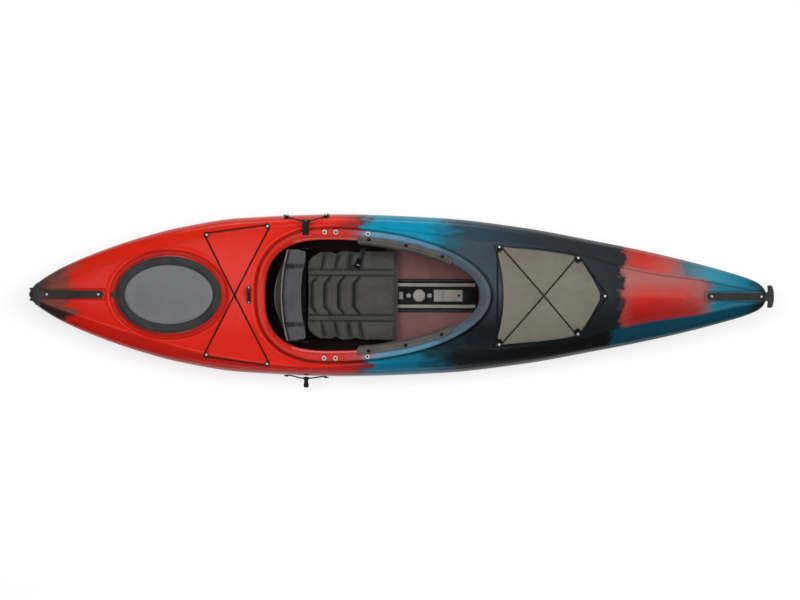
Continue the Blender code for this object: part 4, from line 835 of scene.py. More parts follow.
@dataclass
class HullLines:
    """The lines of the hull and deck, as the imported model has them."""

    half_length: float = 1.6
    half_beam: float = 0.353
    wall: float = 0.005
    seam: float = 0.0003
    flat_half: float = 0.56
    bow_rise: Point = (0.085, 0.145)
    stern_rise: Point = (0.05, 0.12)
    stem_start: float = 0.72
    gunwale_height: float = 0.2
    bow_sheer: float = 0.092
    stern_sheer: float = 0.048
    shoulder_rise: float = 0.055
    tip_shoulder_rise: float = 0.012
    tip_round: float = 0.022
    outline: Curve = (
        (-1.0, 0.062), (-0.967, 0.178), (-0.913, 0.326), (-0.805, 0.538), (-0.697, 0.705),
        (-0.589, 0.833), (-0.426, 0.95), (-0.156, 1.0), (0.115, 0.957), (0.331, 0.847), (0.548, 0.669),
        (0.711, 0.516), (0.872, 0.331), (0.97, 0.184), (1.0, 0.085))
    shoulder_outline: Curve = (
        (-1.0, 0.05), (-0.962, 0.105), (-0.787, 0.38), (-0.602, 0.629), (-0.509, 0.732),
        (-0.331, 0.856), (-0.22, 0.885), (0.0, 0.815), (0.266, 0.66), (0.502, 0.51), (0.607, 0.365),
        (0.694, 0.282), (0.812, 0.212), (0.919, 0.116), (1.0, 0.06))
    crown_line: Curve = (
        (-1.0, 0.258), (-0.97, 0.27), (-0.75, 0.281), (-0.4, 0.29), (-0.18, 0.303), (0.15, 0.337),
        (0.32, 0.347), (0.55, 0.345), (0.85, 0.334), (0.98, 0.322), (1.0, 0.308))
    middle_section: Curve = (
        (0.0, 0.0), (0.36, 0.0), (0.58, 0.04), (0.76, 0.14), (0.88, 0.34), (0.95, 0.6), (0.988, 0.82),
        (1.0, 1.0))
    tip_section: Curve = (
        (0.0, 0.0), (0.22, 0.02), (0.42, 0.1), (0.6, 0.25), (0.76, 0.45), (0.88, 0.68), (0.96, 0.87),
        (1.0, 1.0))
    tip_blend_start: float = 0.45
    band_across: Curve = ((0.0, 0.0), (0.333, 0.14), (0.667, 0.5), (1.0, 1.0))
    band_up: Curve = ((0.0, 0.0), (0.333, 0.4), (0.667, 0.78), (1.0, 1.0))
    band_share: float = 0.125

    def rounding(self, x: float) -> float:
        """How much of the breadth is left at x, where the tips are rounded in plan."""
        past = max(0.0, abs(x) - (self.half_length - self.tip_round)) / self.tip_round
        return sqrt(max(0.0, 1 - past * past))

    def beam(self, x: float) -> float:
        """Half breadth at the gunwale."""
        return self.half_beam * smooth(self.outline, x / self.half_length) * self.rounding(x)

    def crease(self, x: float) -> float:
        """Half breadth at the shoulder crease."""
        return self.half_beam * smooth(self.shoulder_outline, x / self.half_length) * self.rounding(x)

    def crown(self, x: float) -> float:
        """Height of the deck on the centreline."""
        return smooth(self.crown_line, x / self.half_length)

    def keel(self, x: float) -> float:
        """Height of the keel.

        Args:
            x: the place along the boat.

        Returns:
            The height.
        """
        reach = max(0.0, abs(x) - self.flat_half) / (self.half_length - self.flat_half)
        stem = max(0.0, (reach - self.stem_start) / (1 - self.stem_start))
        rocker, rise = self.bow_rise if x > 0 else self.stern_rise
        return rocker * reach ** 2 + rise * stem ** 2

    def gunwale(self, x: float) -> float:
        """Height of the gunwale."""
        sheer = self.bow_sheer if x > 0 else self.stern_sheer
        return self.gunwale_height + sheer * (x / self.half_length) ** 2

    def shoulder(self, x: float) -> float:
        """Height of the shoulder crease."""
        share = (abs(x) / self.half_length) ** 4
        return (self.gunwale(x) + self.shoulder_rise
                + (self.tip_shoulder_rise - self.shoulder_rise) * share)

    def stations(self, count: int) -> list[float]:
        """Places along the boat, with the rounded tips finely divided.

        Args:
            count: how many steps lie between the tips' roundings.

        Returns:
            The places, from stern to bow.
        """
        straight_part = self.half_length - self.tip_round
        places = [straight_part * (2 * i / count - 1) for i in range(count + 1)]
        ends = [straight_part + self.tip_round * sin(pi / 2 * k / 6) for k in range(1, 7)]
        return [-x for x in reversed(ends)] + places + ends

    def deck_height(self, x: float, y: float) -> float:
        """Height of the plain deck inside the crease."""
        crease, low = max(self.crease(x), 1e-4), self.shoulder(x)
        return low + (self.crown(x) - low) * (1 - min(abs(y) / crease, 1.0) ** 2) + self.seam

    def deck_normal(self, x: float, y: float) -> Vector:
        """The deck's way out at a place.

        Args:
            x: the place along the boat.
            y: the place across it.

        Returns:
            The way out, one metre long.
        """
        step = 0.003
        rise_x = self.deck_height(x + step, y) - self.deck_height(x - step, y)
        rise_y = self.deck_height(x, y + step) - self.deck_height(x, y - step)
        return Vector((-rise_x, -rise_y, 2 * step)).normalized()

    def deck_point(self, x: float, s: float) -> tuple[Vector, float]:
        """A point of the deck.

        Args:
            x: its station.
            s: from -1 at the starboard gunwale to 1 at the port one.

        Returns:
            The point, and how far it is out on the side band, from 0 to 1.
        """
        side = copysign(1.0, s)
        crease, band = self.crease(x), self.band_share
        if abs(s) <= 1 - band:
            y = crease * (1 - (1 - abs(s) / (1 - band)) ** 1.25)
            return Vector((x, side * y, self.deck_height(x, y))), 0.0
        t = (1 - abs(s)) / band
        edge, low = self.beam(x), self.gunwale(x)
        y = edge + (crease - edge) * smooth(self.band_across, t)
        z = low + (self.shoulder(x) - low) * smooth(self.band_up, t) + self.seam
        return Vector((x, side * y, z)), 1 - t

    def hull_point(self, x: float, s: float) -> Vector:
        """A point of the hull, s from -1 at the starboard gunwale to 1 at the port one.

        Args:
            x: the place along the boat.
            s: -1 to 1 from the starboard gunwale to the port one.

        Returns:
            The point.
        """
        blend = max(0.0, (abs(x) / self.half_length - self.tip_blend_start)
                    / (1 - self.tip_blend_start))
        keel, side = self.keel(x), self.gunwale(x) - self.keel(x)
        place = abs(s) * (len(self.middle_section) - 1)
        across, up = (
            (1 - blend) * smooth([(i, p[k]) for i, p in enumerate(self.middle_section)], place)
            + blend * smooth([(i, p[k]) for i, p in enumerate(self.tip_section)], place)
            for k in (0, 1))
        return Vector((x, copysign(self.beam(x) * across, s), keel + side * up))


@dataclass
class CockpitLines:
    """The cockpit's outline and the plane of its coaming."""

    x: float = -0.29
    aft: float = 0.319
    fore: float = 0.691
    half: float = 0.284
    aft_power: float = 2.4
    aft_inner_power: float = 2.7
    aft_band_share: float = 0.82
    fore_power: float = 2.0
    aft_z: float = 0.316
    fore_z: float = 0.372
    band: float = 0.044

    def lobe(self, fore: bool, inset: float) -> Point:
        """One half's reach, moved in by the inset, and the power that rounds it."""
        power = self.aft_power + (self.aft_inner_power - self.aft_power) * inset / self.band
        return ((self.fore - inset, self.fore_power) if fore
                else (self.aft - self.aft_band_share * inset, power))

    def share(self, x: float, y: float, inset: float) -> float:
        """1 on the outline moved in by the inset, less inside it and more outside."""
        reach, power = self.lobe(x >= self.x, inset)
        return ((abs(x - self.x) / reach) ** power
                + (abs(y) / (self.half - inset)) ** power) ** (1 / power)

    def outside(self, x: float, y: float, inset: float = 0.0) -> float:
        """Rough distance outside the outline, less than 0 inside it."""
        share = max(self.share(x, y, inset), 1e-6)
        return (share - 1) / share * hypot(x - self.x, y)

    def point(self, angle: float, inset: float) -> Point:
        """The outline's point at an angle, moved in by the inset.

        Args:
            angle: the angle about its middle.
            inset: how far the outline is moved in.

        Returns:
            Its places along the boat and across it.
        """
        reach, power = self.lobe(cos(angle) >= 0, inset)
        x = self.x + copysign(reach * abs(cos(angle)) ** (2 / power), cos(angle))
        side = (self.half - inset) * abs(sin(angle)) ** (2 / power)
        return x, copysign(side, sin(angle))

    def width(self, x: float, inset: float) -> float:
        """Half width at x, moved in by the inset."""
        reach, power = self.lobe(x >= self.x, inset)
        return (self.half - inset) * (1 - min(abs(x - self.x) / reach, 1.0) ** power) ** (1 / power)

    def top(self, x: float) -> float:
        """Height of the coaming at x."""
        return (self.aft_z
                + (self.fore_z - self.aft_z) * (x - self.x + self.aft) / (self.aft + self.fore))


@dataclass
class HatchLines:
    """The stern hatch's outline and the plane of its cover."""

    x: float = -0.991
    half_length: float = 0.2295
    half_width: float = 0.167
    rise: float = 0.014
    thick: float = 0.01
    plate_inset: float = 0.0385

    def share(self, x: float, y: float, inset: float = 0.0) -> float:
        """1 on the outline moved in by the inset."""
        return hypot((x - self.x) / (self.half_length - inset), y / (self.half_width - inset))

    def outside(self, x: float, y: float) -> float:
        """Rough distance outside the cover."""
        share = max(self.share(x, y), 1e-6)
        return (share - 1) / share * hypot(x - self.x, y)

    def top(self, x: float, lines: HullLines) -> float:
        """Height of the cover at x."""
        aft, fore = self.x - self.half_length, self.x + self.half_length
        return (lines.crown(aft)
                + (lines.crown(fore) - lines.crown(aft)) * ((x - aft) / (fore - aft))
                + self.rise)

    def point(self, angle: float, inset: float) -> Point:
        """The outline's point at an angle, moved in by the inset."""
        return (self.x + (self.half_length - inset) * cos(angle),
                (self.half_width - inset) * sin(angle))


@dataclass
class PadLines:
    """The foredeck pad's outline."""

    aft: float = 0.424
    fore: float = 0.874
    aft_half: float = 0.215
    middle: float = 0.775
    middle_half: float = 0.172
    taper_half: float = 0.107
    tip_half: float = 0.014
    hollow: float = 0.034
    thick: float = 0.003

    def width(self, x: float) -> float:
        """Half width at x."""
        return smooth(((self.aft, self.aft_half), (self.middle, self.middle_half),
                       ((self.middle + self.fore) / 2, self.taper_half),
                       (self.fore, self.tip_half)), x)

    def start(self, share: float) -> float:
        """Where the pad starts, at a share of its half width."""
        return self.aft + self.hollow * (1 - share ** 2)

    def outside(self, x: float, y: float) -> float:
        """Rough distance outside the pad, less than 0 on it.

        Args:
            x: the place along the boat.
            y: the place across it.

        Returns:
            The distance.
        """
        half = self.width(min(max(x, self.aft), self.fore))
        lean = 0.0 if x < self.middle else 0.75
        over = (abs(y) - half) / hypot(1, 1.6 * lean)
        before = self.start(min(abs(y) / self.aft_half, 1.0)) - x
        return max(over, before, x - self.fore)


@dataclass
class Shell:
    """The moulded skin of the boat: hull and deck outside, and the plain skin inside."""

    lines: HullLines
    cockpit: CockpitLines
    hatch: HatchLines
    pad: PadLines
    steps: int = 480
    columns: int = 160
    skin_steps: int = 240
    skin_columns: int = 60
    opening_inset: float = 0.0187
    hatch_inset: float = 0.0237
    slot: Spot = (-1.225, -0.99, 0.005)
    straps: tuple[Point, ...] = ((-1.6, -1.275), (1.335, 1.6))
    strap_half: float = 0.016
    bar_x: float = -0.65

    def ledge(self, x: float) -> float:
        """How far the shoulder's bead stands over the crown at a place along the boat."""
        return (0.0014 + 0.0014 * eased(0.3, 0.75, x)) * self.lines.rounding(x)

    def relief(self, x: float, y: float) -> Point:
        """The deck's mouldings over its plain surface.

        Args:
            x: the place along the boat.
            y: the place across it.

        Returns:
            The rise in metres, less than 0 in a groove, and how much shade lies there, from 0 to 1.
        """
        rise, shade = 0.0, 0.0
        # Each trough's start and end outside its piece, its depth and painted shade, and its bead
        for near, outside, starts, ends, deep, dark, tall, beyond, broad in (
                (abs(x - self.hatch.x) < 0.32, self.hatch.outside, (-0.001, 0.007), (0.031, 0.02),
                 0.0065, 0.62, 0.0022, 0.036, 0.006),
                (abs(x + 0.1) < 0.62, self.cockpit.outside, (-0.006, 0.001), (0.017, 0.008),
                 0.006, 0.85, 0.0018, 0.024, 0.008),
                (0.38 < x < 0.95, self.pad.outside, (-0.004, 0.0), (0.01, 0.005),
                 0.003, 0.8, 0.0022, 0.0125, 0.004)):
            if near:
                out = outside(x, y)
                trough = eased(*starts, out) * eased(*ends, out)
                rise += tall * bump(out - beyond, broad) - deep * trough
                shade = max(shade, dark * trough)
        for low, high in self.straps:
            if low - 0.02 < x < high + 0.02:
                out = max(abs(y) - self.strap_half, low - x if low > -1.5 else x - high)
                trough = bump(out - 0.005, 0.004)
                rise -= 0.0026 * trough
                shade = max(shade, 0.7 * trough)
        dimple = bump(hypot((x - self.bar_x) / 0.02, y / 0.026), 1.0)
        rise -= 0.007 * dimple
        shade = max(shade, 0.75 * dimple)
        inward = self.lines.crease(x) - abs(y)
        rise += self.ledge(x) * eased(0.0055, 0.0005, inward)
        # A painted shadow along the port crease, on the face of its ledge turned away from the light
        if y > 0:
            shade = max(shade, 0.9 * bump(inward - 0.004, 0.003) * self.ledge(x) / 0.0028)
        return rise, shade

    def cut(self, bm: Mesh, lift: float) -> None:
        """Opens the cockpit and the hatch in a deck skin.

        Args:
            bm: the skin.
            lift: its height over the plain deck.
        """
        openings = ((lambda x, y: self.cockpit.share(x, y, self.opening_inset), self.cockpit.x),
                    (lambda x, y: self.hatch.share(x, y, self.hatch_inset), self.hatch.x))
        for share, middle in openings:
            gone = [f for f in bm.faces if share(*f.calc_center_median().xy) < 1
                    and abs(f.calc_center_median().x - middle) < 0.75]
            rim = {v for f in gone for v in f.verts}
            bmesh.ops.delete(bm, geom=gone, context="FACES")
            for vert in rim:
                if vert.is_valid and vert.is_boundary:
                    scale = 1 / max(share(*vert.co.xy), 1e-6)
                    x, y = middle + (vert.co.x - middle) * scale, vert.co.y * scale
                    vert.co = Vector((x, y, self.lines.deck_height(x, y) + lift))

    def build_deck(self) -> Piece:
        """The deck outside, with its mouldings and openings.

        Returns:
            The piece.
        """
        stations = self.lines.stations(self.steps)

        def place(u: float, v: float) -> Vector:
            """A point of the deck, with its relief.

            Args:
                u: its share of the way over the rows.
                v: its share of the way round or across them.

            Returns:
                The point.
            """
            x = stations[round(u * (len(stations) - 1))]
            point, out = self.lines.deck_point(x, 2 * v - 1)
            if out == 0.0:
                point.z += self.relief(x, point.y)[0]
            else:
                point.z += self.ledge(x) * (1 - out) ** 3
            return point

        bm = lay(len(stations) - 1, self.columns, place, outward=Vector((0, 0, 1)))
        self.cut(bm, 0.0)
        bmesh.ops.remove_doubles(bm, verts=bm.verts[:], dist=1e-6)
        # The band marks each side for its ramp, the starboard one painted darker as shade; the other
        # layer holds the grooves' painted shade
        layer, recess = (bm.verts.layers.float.new(name) for name in ("band", "recess"))
        for vert in bm.verts:
            crease, edge = self.lines.crease(vert.co.x), self.lines.beam(vert.co.x)
            out = (abs(vert.co.y) - crease) / max(edge - crease, 1e-4)
            vert[layer] = copysign(eased(-0.05, 0.15, out), vert.co.y)
            vert[recess] = self.relief(vert.co.x, vert.co.y)[1]
        return add_piece("deck_moulding", bm, HULL, "hull", ("deck",), 60)

    def build_hull(self) -> Piece:
        """The hull outside, with its skeg slot.

        Returns:
            The piece.
        """
        stations = self.lines.stations(400)

        def place(u: float, v: float) -> Vector:
            """A point of the hull."""
            return self.lines.hull_point(stations[round(u * (len(stations) - 1))], 2 * v - 1)

        bm = lay(len(stations) - 1, 112, place, outward=Vector((0, 0, -1)))
        self.open_slot(bm)
        # Each side of the hull takes its side's ramp, the starboard one painted darker as shade
        layer = bm.verts.layers.float.new("band")
        for vert in bm.verts:
            vert[layer] = copysign(1.0, vert.co.y)
        return add_piece("hull_moulding", bm, HULL, "hull", ("hull_bottom",), 60)

    def open_slot(self, bm: Mesh) -> None:
        """Cuts the skeg's slot in a hull skin.

        Args:
            bm: the skin.
        """
        aft, fore, half = self.slot
        for co, no in (((aft, 0, 0), (1, 0, 0)), ((fore, 0, 0), (1, 0, 0)),
                       ((0, half, 0), (0, 1, 0)), ((0, -half, 0), (0, 1, 0))):
            near = [f for f in bm.faces if abs(f.calc_center_median().y) < 0.03
                    and aft - 0.03 < f.calc_center_median().x < fore + 0.03]
            geom = list({g for f in near for g in (*f.verts, *f.edges, f)})
            bmesh.ops.bisect_plane(bm, geom=geom, plane_co=co, plane_no=no, dist=1e-6)
        gone = [f for f in bm.faces if abs(f.calc_center_median().y) < half
                and aft < f.calc_center_median().x < fore]
        bmesh.ops.delete(bm, geom=gone, context="FACES")

    def build_inside(self) -> None:
        """The skin inside: a wall's thickness in from the hull and the deck."""
        wall = self.lines.wall
        stations = [x for x in self.lines.stations(self.skin_steps)
                    if abs(x) < self.lines.half_length - self.lines.tip_round]

        def hull_place(u: float, v: float) -> Vector:
            """A point a wall's thickness inside the hull.

            Args:
                u: its share of the way over the rows.
                v: its share of the way round or across them.

            Returns:
                The point.
            """
            x, s = stations[round(u * (len(stations) - 1))], 2 * v - 1
            point = self.lines.hull_point(x, s)
            ahead, behind = self.lines.hull_point(x, s + 0.01), self.lines.hull_point(x, s - 0.01)
            along = ahead - behind
            normal = Vector((0, -along.z, along.y)).normalized()
            if abs(s) > 0.98:
                normal = Vector((0, -copysign(1.0, s), 0))
            return point + normal * wall

        def deck_place(u: float, v: float) -> Vector:
            """A point a wall's thickness inside the deck.

            Args:
                u: its share of the way over the rows.
                v: its share of the way round or across them.

            Returns:
                The point.
            """
            x, s = stations[round(u * (len(stations) - 1))], 2 * v - 1
            point, out = self.lines.deck_point(x, s)
            groove = min(self.relief(x, point.y)[0], 0.0) - 0.002 if out == 0.0 else 0.0
            inward = Vector((0, -copysign(wall, s) * out, groove - wall * (1 - 0.6 * out)))
            return point + inward

        hull = lay(len(stations) - 1, self.skin_columns, hull_place, outward=Vector((0, 0, 1)))
        self.open_slot(hull)
        add_piece("hull_inside", hull, INSIDE, "hull")
        deck = lay(len(stations) - 1, self.skin_columns, deck_place, outward=Vector((0, 0, -1)))
        self.cut(deck, -wall)
        add_piece("deck_inside", deck, INSIDE, "hull")


@dataclass
class Studio:
    """Camera, light and floor."""

    centre: Point = (0.0108, -0.0198)
    focal: float = 150.0
    frame_width: float = 3.464
    height: float = 0.3
    roll: float = -0.19
    world: float = 0.1
    # Two broad softboxes model the hull, and three narrow ones draw its highlights
    lamps: tuple[tuple[str, Spot, Point, float, bool], ...] = (
        ("key", (0.0, 0.5, 4.8), (4.6, 2.4), 225.0, False),
        ("fill", (0.0, -2.4, 3.8), (4.6, 2.0), 16.0, False),
        ("strip_port", (-0.45, 3.9, 1.1), (2.7, 0.4), 15.0, True),
        ("strip_starboard", (-0.45, -3.9, 1.1), (2.7, 0.4), 7.5, True),
        ("strip_bow", (3.6, 0.4, 1.2), (2.4, 0.4), 15.0, True))

    def build(self) -> None:
        """Sets the camera, the light and the floor."""
        scene = bpy.context.scene
        camera = bpy.data.cameras.new("camera")
        camera.lens = self.focal
        distance = self.frame_width * camera.lens / camera.sensor_width
        eye = bpy.data.objects.new("camera", camera)
        eye.location = (*self.centre, self.height + distance)
        eye.rotation_euler = (0, 0, radians(-self.roll))
        scene.collection.objects.link(eye)
        scene.camera = eye
        for lamp in self.lamps:
            self.hang(*lamp)
        world = bpy.data.worlds.new("studio")
        world.use_nodes = True
        sky = world.node_tree.nodes["Background"].inputs
        sky["Color"].default_value = linear("FFFFFF")
        sky["Strength"].default_value = self.world
        scene.world = world
        bm = bmesh.new()
        bmesh.ops.create_grid(bm, x_segments=2, y_segments=2, size=60.0)
        mesh = bpy.data.meshes.new("studio_floor")
        bm.to_mesh(mesh)
        bm.free()
        mesh.materials.append(FLOOR.material())
        floor = bpy.data.objects.new("studio_floor", mesh)
        scene.collection.objects.link(floor)
        scene.view_settings.view_transform = "Standard"

    def hang(self, name: str, place: Spot, size: Point, watts: float, mirrored: bool) -> None:
        """Hangs one softbox.

        Args:
            name: the lamp's name.
            place: where it hangs.
            size: its length along the boat and its breadth.
            watts: its strength.
            mirrored: whether gloss shows it.
        """
        light = bpy.data.lights.new(name, "AREA")
        light.shape = "RECTANGLE"
        light.size, light.size_y = size
        light.energy = watts
        lamp = bpy.data.objects.new(name, light)
        lamp.location = place
        aim = Vector((0, 0, 0.2)) - Vector(place)
        lamp.rotation_euler = aim.to_track_quat("-Z", "X").to_euler()
        lamp.rotation_euler.rotate_axis("Z", pi / 2)
        lamp.visible_glossy = mirrored
        lamp.visible_camera = False
        bpy.context.scene.collection.objects.link(lamp)


@dataclass
class Coaming:
    """The moulded rim round the cockpit: a lip outside, a flat top and a sloped band inside."""

    lines: HullLines
    cockpit: CockpitLines
    steps: int = 300
    tuck: float = 0.018
    riser: float = 0.019
    wall: float = 0.005
    profile: Curve = (
        (0.019, 0.0085), (0.006, 0.0082), (0.0012, 0.0076), (0.0002, 0.0062), (0.0, 0.0042),
        (0.0001, 0.0022), (0.0008, 0.0009), (0.0022, 0.0001), (0.0045, -0.0004), (0.01, -0.0006),
        (0.015, -0.0004), (0.0185, 0.0003), (0.0208, 0.0014), (0.0224, 0.003), (0.024, 0.0044),
        (0.0256, 0.005), (0.0272, 0.0058), (0.03, 0.0076), (0.035, 0.0116), (0.04, 0.0156),
        (0.0424, 0.0178), (0.0436, 0.0194), (0.044, 0.0212), (0.044, 0.0238), (0.0434, 0.0254),
        (0.0418, 0.0258), (0.034, 0.0196), (0.0285, 0.0135), (0.0246, 0.0135), (0.024, 0.015))
    bolts: tuple[float, ...] = (-0.316, -0.267, -0.129)
    bolt_inset: float = 0.0115
    washer: Curve = (
        (0.0, 0.0026), (0.005, 0.0027), (0.0072, 0.0027), (0.0094, 0.0012), (0.01, 0.0),
        (0.01, -0.002))
    head: Curve = (
        (0.0, 0.0042), (0.0018, 0.0042), (0.0024, 0.0056), (0.0038, 0.0052), (0.0048, 0.004),
        (0.005, 0.0026))

    def build(self) -> None:
        """Makes the rim and the bright bolts that hold the seat and the braces."""
        rows = len(self.profile) + 2

        def place(u: float, v: float) -> Vector:
            """A point of the rim's profile, or of the riser's foot.

            Args:
                u: its share of the way over the rows.
                v: its share of the way round or across them.

            Returns:
                The point.
            """
            index = round(v * rows) % rows
            if index < len(self.profile):
                inset, drop = self.profile[index]
                x, y = self.cockpit.point(2 * pi * u, inset)
                return Vector((x, y, self.cockpit.top(x) - drop))
            inset = self.riser + (self.wall if index == len(self.profile) else 0.0)
            x, y = self.cockpit.point(2 * pi * u, inset)
            return Vector((x, y, self.lines.deck_height(x, y) - self.tuck))

        add_piece("cockpit_rim", lay(self.steps, rows, place, Closed.BOTH), COAMING, "hull",
                  ("cockpit_coaming",), 40)
        for side in Side:
            for number, x in enumerate(self.bolts):
                foot = Vector((x, side.value * self.cockpit.width(x, self.bolt_inset),
                               self.cockpit.top(x) + 0.0004))
                parts = (("", self.washer, STEEL), ("_head", self.head, DARK_STEEL))
                for part, profile, finish in parts:
                    add_piece(f"coaming_bolt_{side.label}_{number}{part}", turned(profile, 24),
                              finish, "hull",
                              matrix=standing(foot, Vector((0, 0, 1))))


@dataclass
class ThighBraces:
    """Ribbed foam-covered strips that lie on the coaming and reach into the cockpit."""

    cockpit: CockpitLines
    aft: float = -0.175
    fore: float = 0.232
    profile: Curve = (
        (0.0, 0.0245), (0.08, 0.025), (0.22, 0.032), (0.42, 0.042), (0.58, 0.05), (0.72, 0.0585),
        (0.86, 0.062), (1.0, 0.0582))
    drops: Curve = (
        (0.0, 0.001), (0.08, -0.0052), (0.22, -0.005), (0.42, 0.0005), (0.58, 0.006), (0.72, 0.017),
        (0.86, 0.032), (1.0, 0.0378))
    ribs: int = 3
    rib_height: float = 0.0034
    corner: float = 0.014
    lift: float = 0.0006
    screws: tuple[float, ...] = (-0.124, 0.036, 0.192)

    def top(self, x: float, share: float, side: Side, end: float) -> Vector:
        """A point of the ribbed face.

        Args:
            x: the place along the boat.
            share: the place over the profile, from outside to inside.
            side: which brace.
            end: 1 in the middle of the brace and 0 where it ends.

        Returns:
            The point.
        """
        inset, drop = smooth(self.profile, share), smooth(self.drops, share)
        wave = sqrt(abs(sin(pi * self.ribs * min(share / 0.72, 1.0)))) - 0.5
        raised = self.rib_height * wave * eased(0.05, 0.15, share) * eased(0.8, 0.66, share)
        drop += (1 - end) * 0.004 - raised * end
        return Vector((x, side.value * self.cockpit.width(x, inset),
                       self.cockpit.top(x) - drop + self.lift))

    def build(self) -> None:
        """Makes both braces and their dark screws."""
        for side in Side:
            def place(u: float, v: float, side: Side = side) -> Vector:
                """A point of the brace, its ribbed top first and then its underside.

                Args:
                    u: its share of the way over the rows.
                    v: its share of the way round or across them.
                    side: the side it lies on.

                Returns:
                    The point.
                """
                back = (v - 0.8) / 0.2
                share = v / 0.8 if v <= 0.8 else 1 - back
                corner = self.corner * abs(2 * min(share / 0.8, 1.0) - 1) ** 3
                x = self.aft + corner + (self.fore - self.aft - 2 * corner) * u
                end = min(eased(0.0, 0.02, u), eased(1.0, 0.98, u))
                if v <= 0.8:
                    return self.top(x, share, side, end)
                inset = straight(((0.0, 0.0582), (0.5, 0.045), (0.99, 0.045), (1.0, 0.0245)), back)
                drop = straight(((0.0, 0.0378), (0.5, 0.0378), (0.99, 0.019), (1.0, 0.001)), back)
                drop += (1 - end) * 0.004 if back == 1.0 else 0.0
                return Vector((x, side.value * self.cockpit.width(x, inset),
                               self.cockpit.top(x) - drop + self.lift))

            bm = lay(120, 50, place, Closed.AROUND, (0.42, 0.12))
            node = "thigh_brace_" + side.label
            add_piece("ribbed_brace_" + side.label, bm, BRACE_FOAM, "hull", (node,), 50)
            for number, x in enumerate(self.screws):
                foot = self.top(x, 0.3, side, 1.0)
                inner = self.top(x, 0.45, side, 1.0)
                ahead = self.top(x + 0.01, 0.3, side, 1.0)
                normal = (ahead - foot).cross(inner - foot).normalized()
                normal = normal if normal.z > 0 else -normal
                screw = turned(((0.0, 0.001), (0.003, 0.001), (0.0042, 0.0024), (0.0066, 0.0022),
                                (0.0084, 0.001), (0.0086, -0.002)), 20)
                add_piece(f"brace_screw_{side.label}_{number}", screw, BLACK_SCREW, "hull",
                          matrix=standing(foot, normal))


@dataclass
class SternHatch:
    """The oval cover: a soft rubber ring with a pull tab, round a stiff grained plate."""

    lines: HullLines
    hatch: HatchLines
    steps: int = 220
    ring_profile: Curve = (
        (0.005, 0.01), (0.0004, 0.0085), (0.0, 0.005), (0.0006, 0.0026), (0.002, 0.001), (0.0045, 0.0),
        (0.009, -0.001), (0.015, -0.0014), (0.021, -0.0012), (0.027, -0.0006), (0.032, 0.0002),
        (0.0355, 0.0012), (0.0374, 0.0026), (0.0382, 0.004), (0.0382, 0.01))
    tab_reach: float = 0.02
    tab_half: float = 0.014

    def build(self) -> None:
        """Makes the ring, the plate and the pull tab."""
        rows = len(self.ring_profile) + 1

        def ring_place(u: float, v: float) -> Vector:
            """A point of the ring, whose foot follows the deck.

            Args:
                u: its share of the way over the rows.
                v: its share of the way round or across them.

            Returns:
                The point.
            """
            index = round(v * rows) % rows
            inset, drop = (*self.ring_profile, (0.005, 0.0))[index]
            x, y = self.hatch.point(2 * pi * u, inset)
            if index in (1, rows - 1):
                return Vector((x, y, self.lines.deck_height(x, y) + 0.0008))
            return Vector((x, y, self.hatch.top(x, self.lines) - drop))

        ring = lay(self.steps, rows, ring_place, Closed.BOTH)
        add_piece("hatch_rubber_ring", ring, RUBBER, "hatch_cover",
                  ("hatch_seal_ring",), 60)

        def plate_place(u: float, v: float) -> Vector:
            """A point of the plate, from its middle over its rim.

            Args:
                u: its share of the way over the rows.
                v: its share of the way round or across them.

            Returns:
                The point.
            """
            share = straight(((0.0, 0.0), (0.8, 1.0), (1.0, 1.0)), v)
            x, y = self.hatch.point(2 * pi * u, self.hatch.plate_inset + 0.0003)
            x, y = self.hatch.x + (x - self.hatch.x) * share, y * share
            drop = straight(((0.0, 0.0), (0.66, 0.0016), (0.74, 0.0008), (0.78, 0.0012),
                             (0.8, 0.0034), (1.0, 0.007)), v)
            return Vector((x, y, self.hatch.top(x, self.lines) - drop + 0.0004))

        plate = lay(160, 50, plate_place, Closed.AROUND)
        add_piece("hatch_grained_plate", plate, HATCH_SHEET, "hatch_cover",
                  ("hatch_plate",), 50)
        tab_x = self.hatch.x - self.hatch.half_length
        height = self.hatch.top(tab_x, self.lines) - 0.0055

        def tab_place(u: float, v: float) -> Vector:
            """A point of the pull tab.

            Args:
                u: its share of the way over the rows.
                v: its share of the way round or across them.

            Returns:
                The point.
            """
            x = tab_x + 0.006 - (self.tab_reach + 0.006) * u
            rounding = sqrt(max(0.0, 1 - (max(u - 0.45, 0.0) / 0.55) ** 2))
            flat, up = squared(v, 0.4, 1.0)
            return Vector((x, flat * self.tab_half * max(rounding, 0.05),
                           height + 0.0018 * up * max(rounding, 0.3)))

        tab = lay(20, 24, tab_place, Closed.AROUND)
        add_piece("hatch_tab", tab, RUBBER, "hatch_cover")


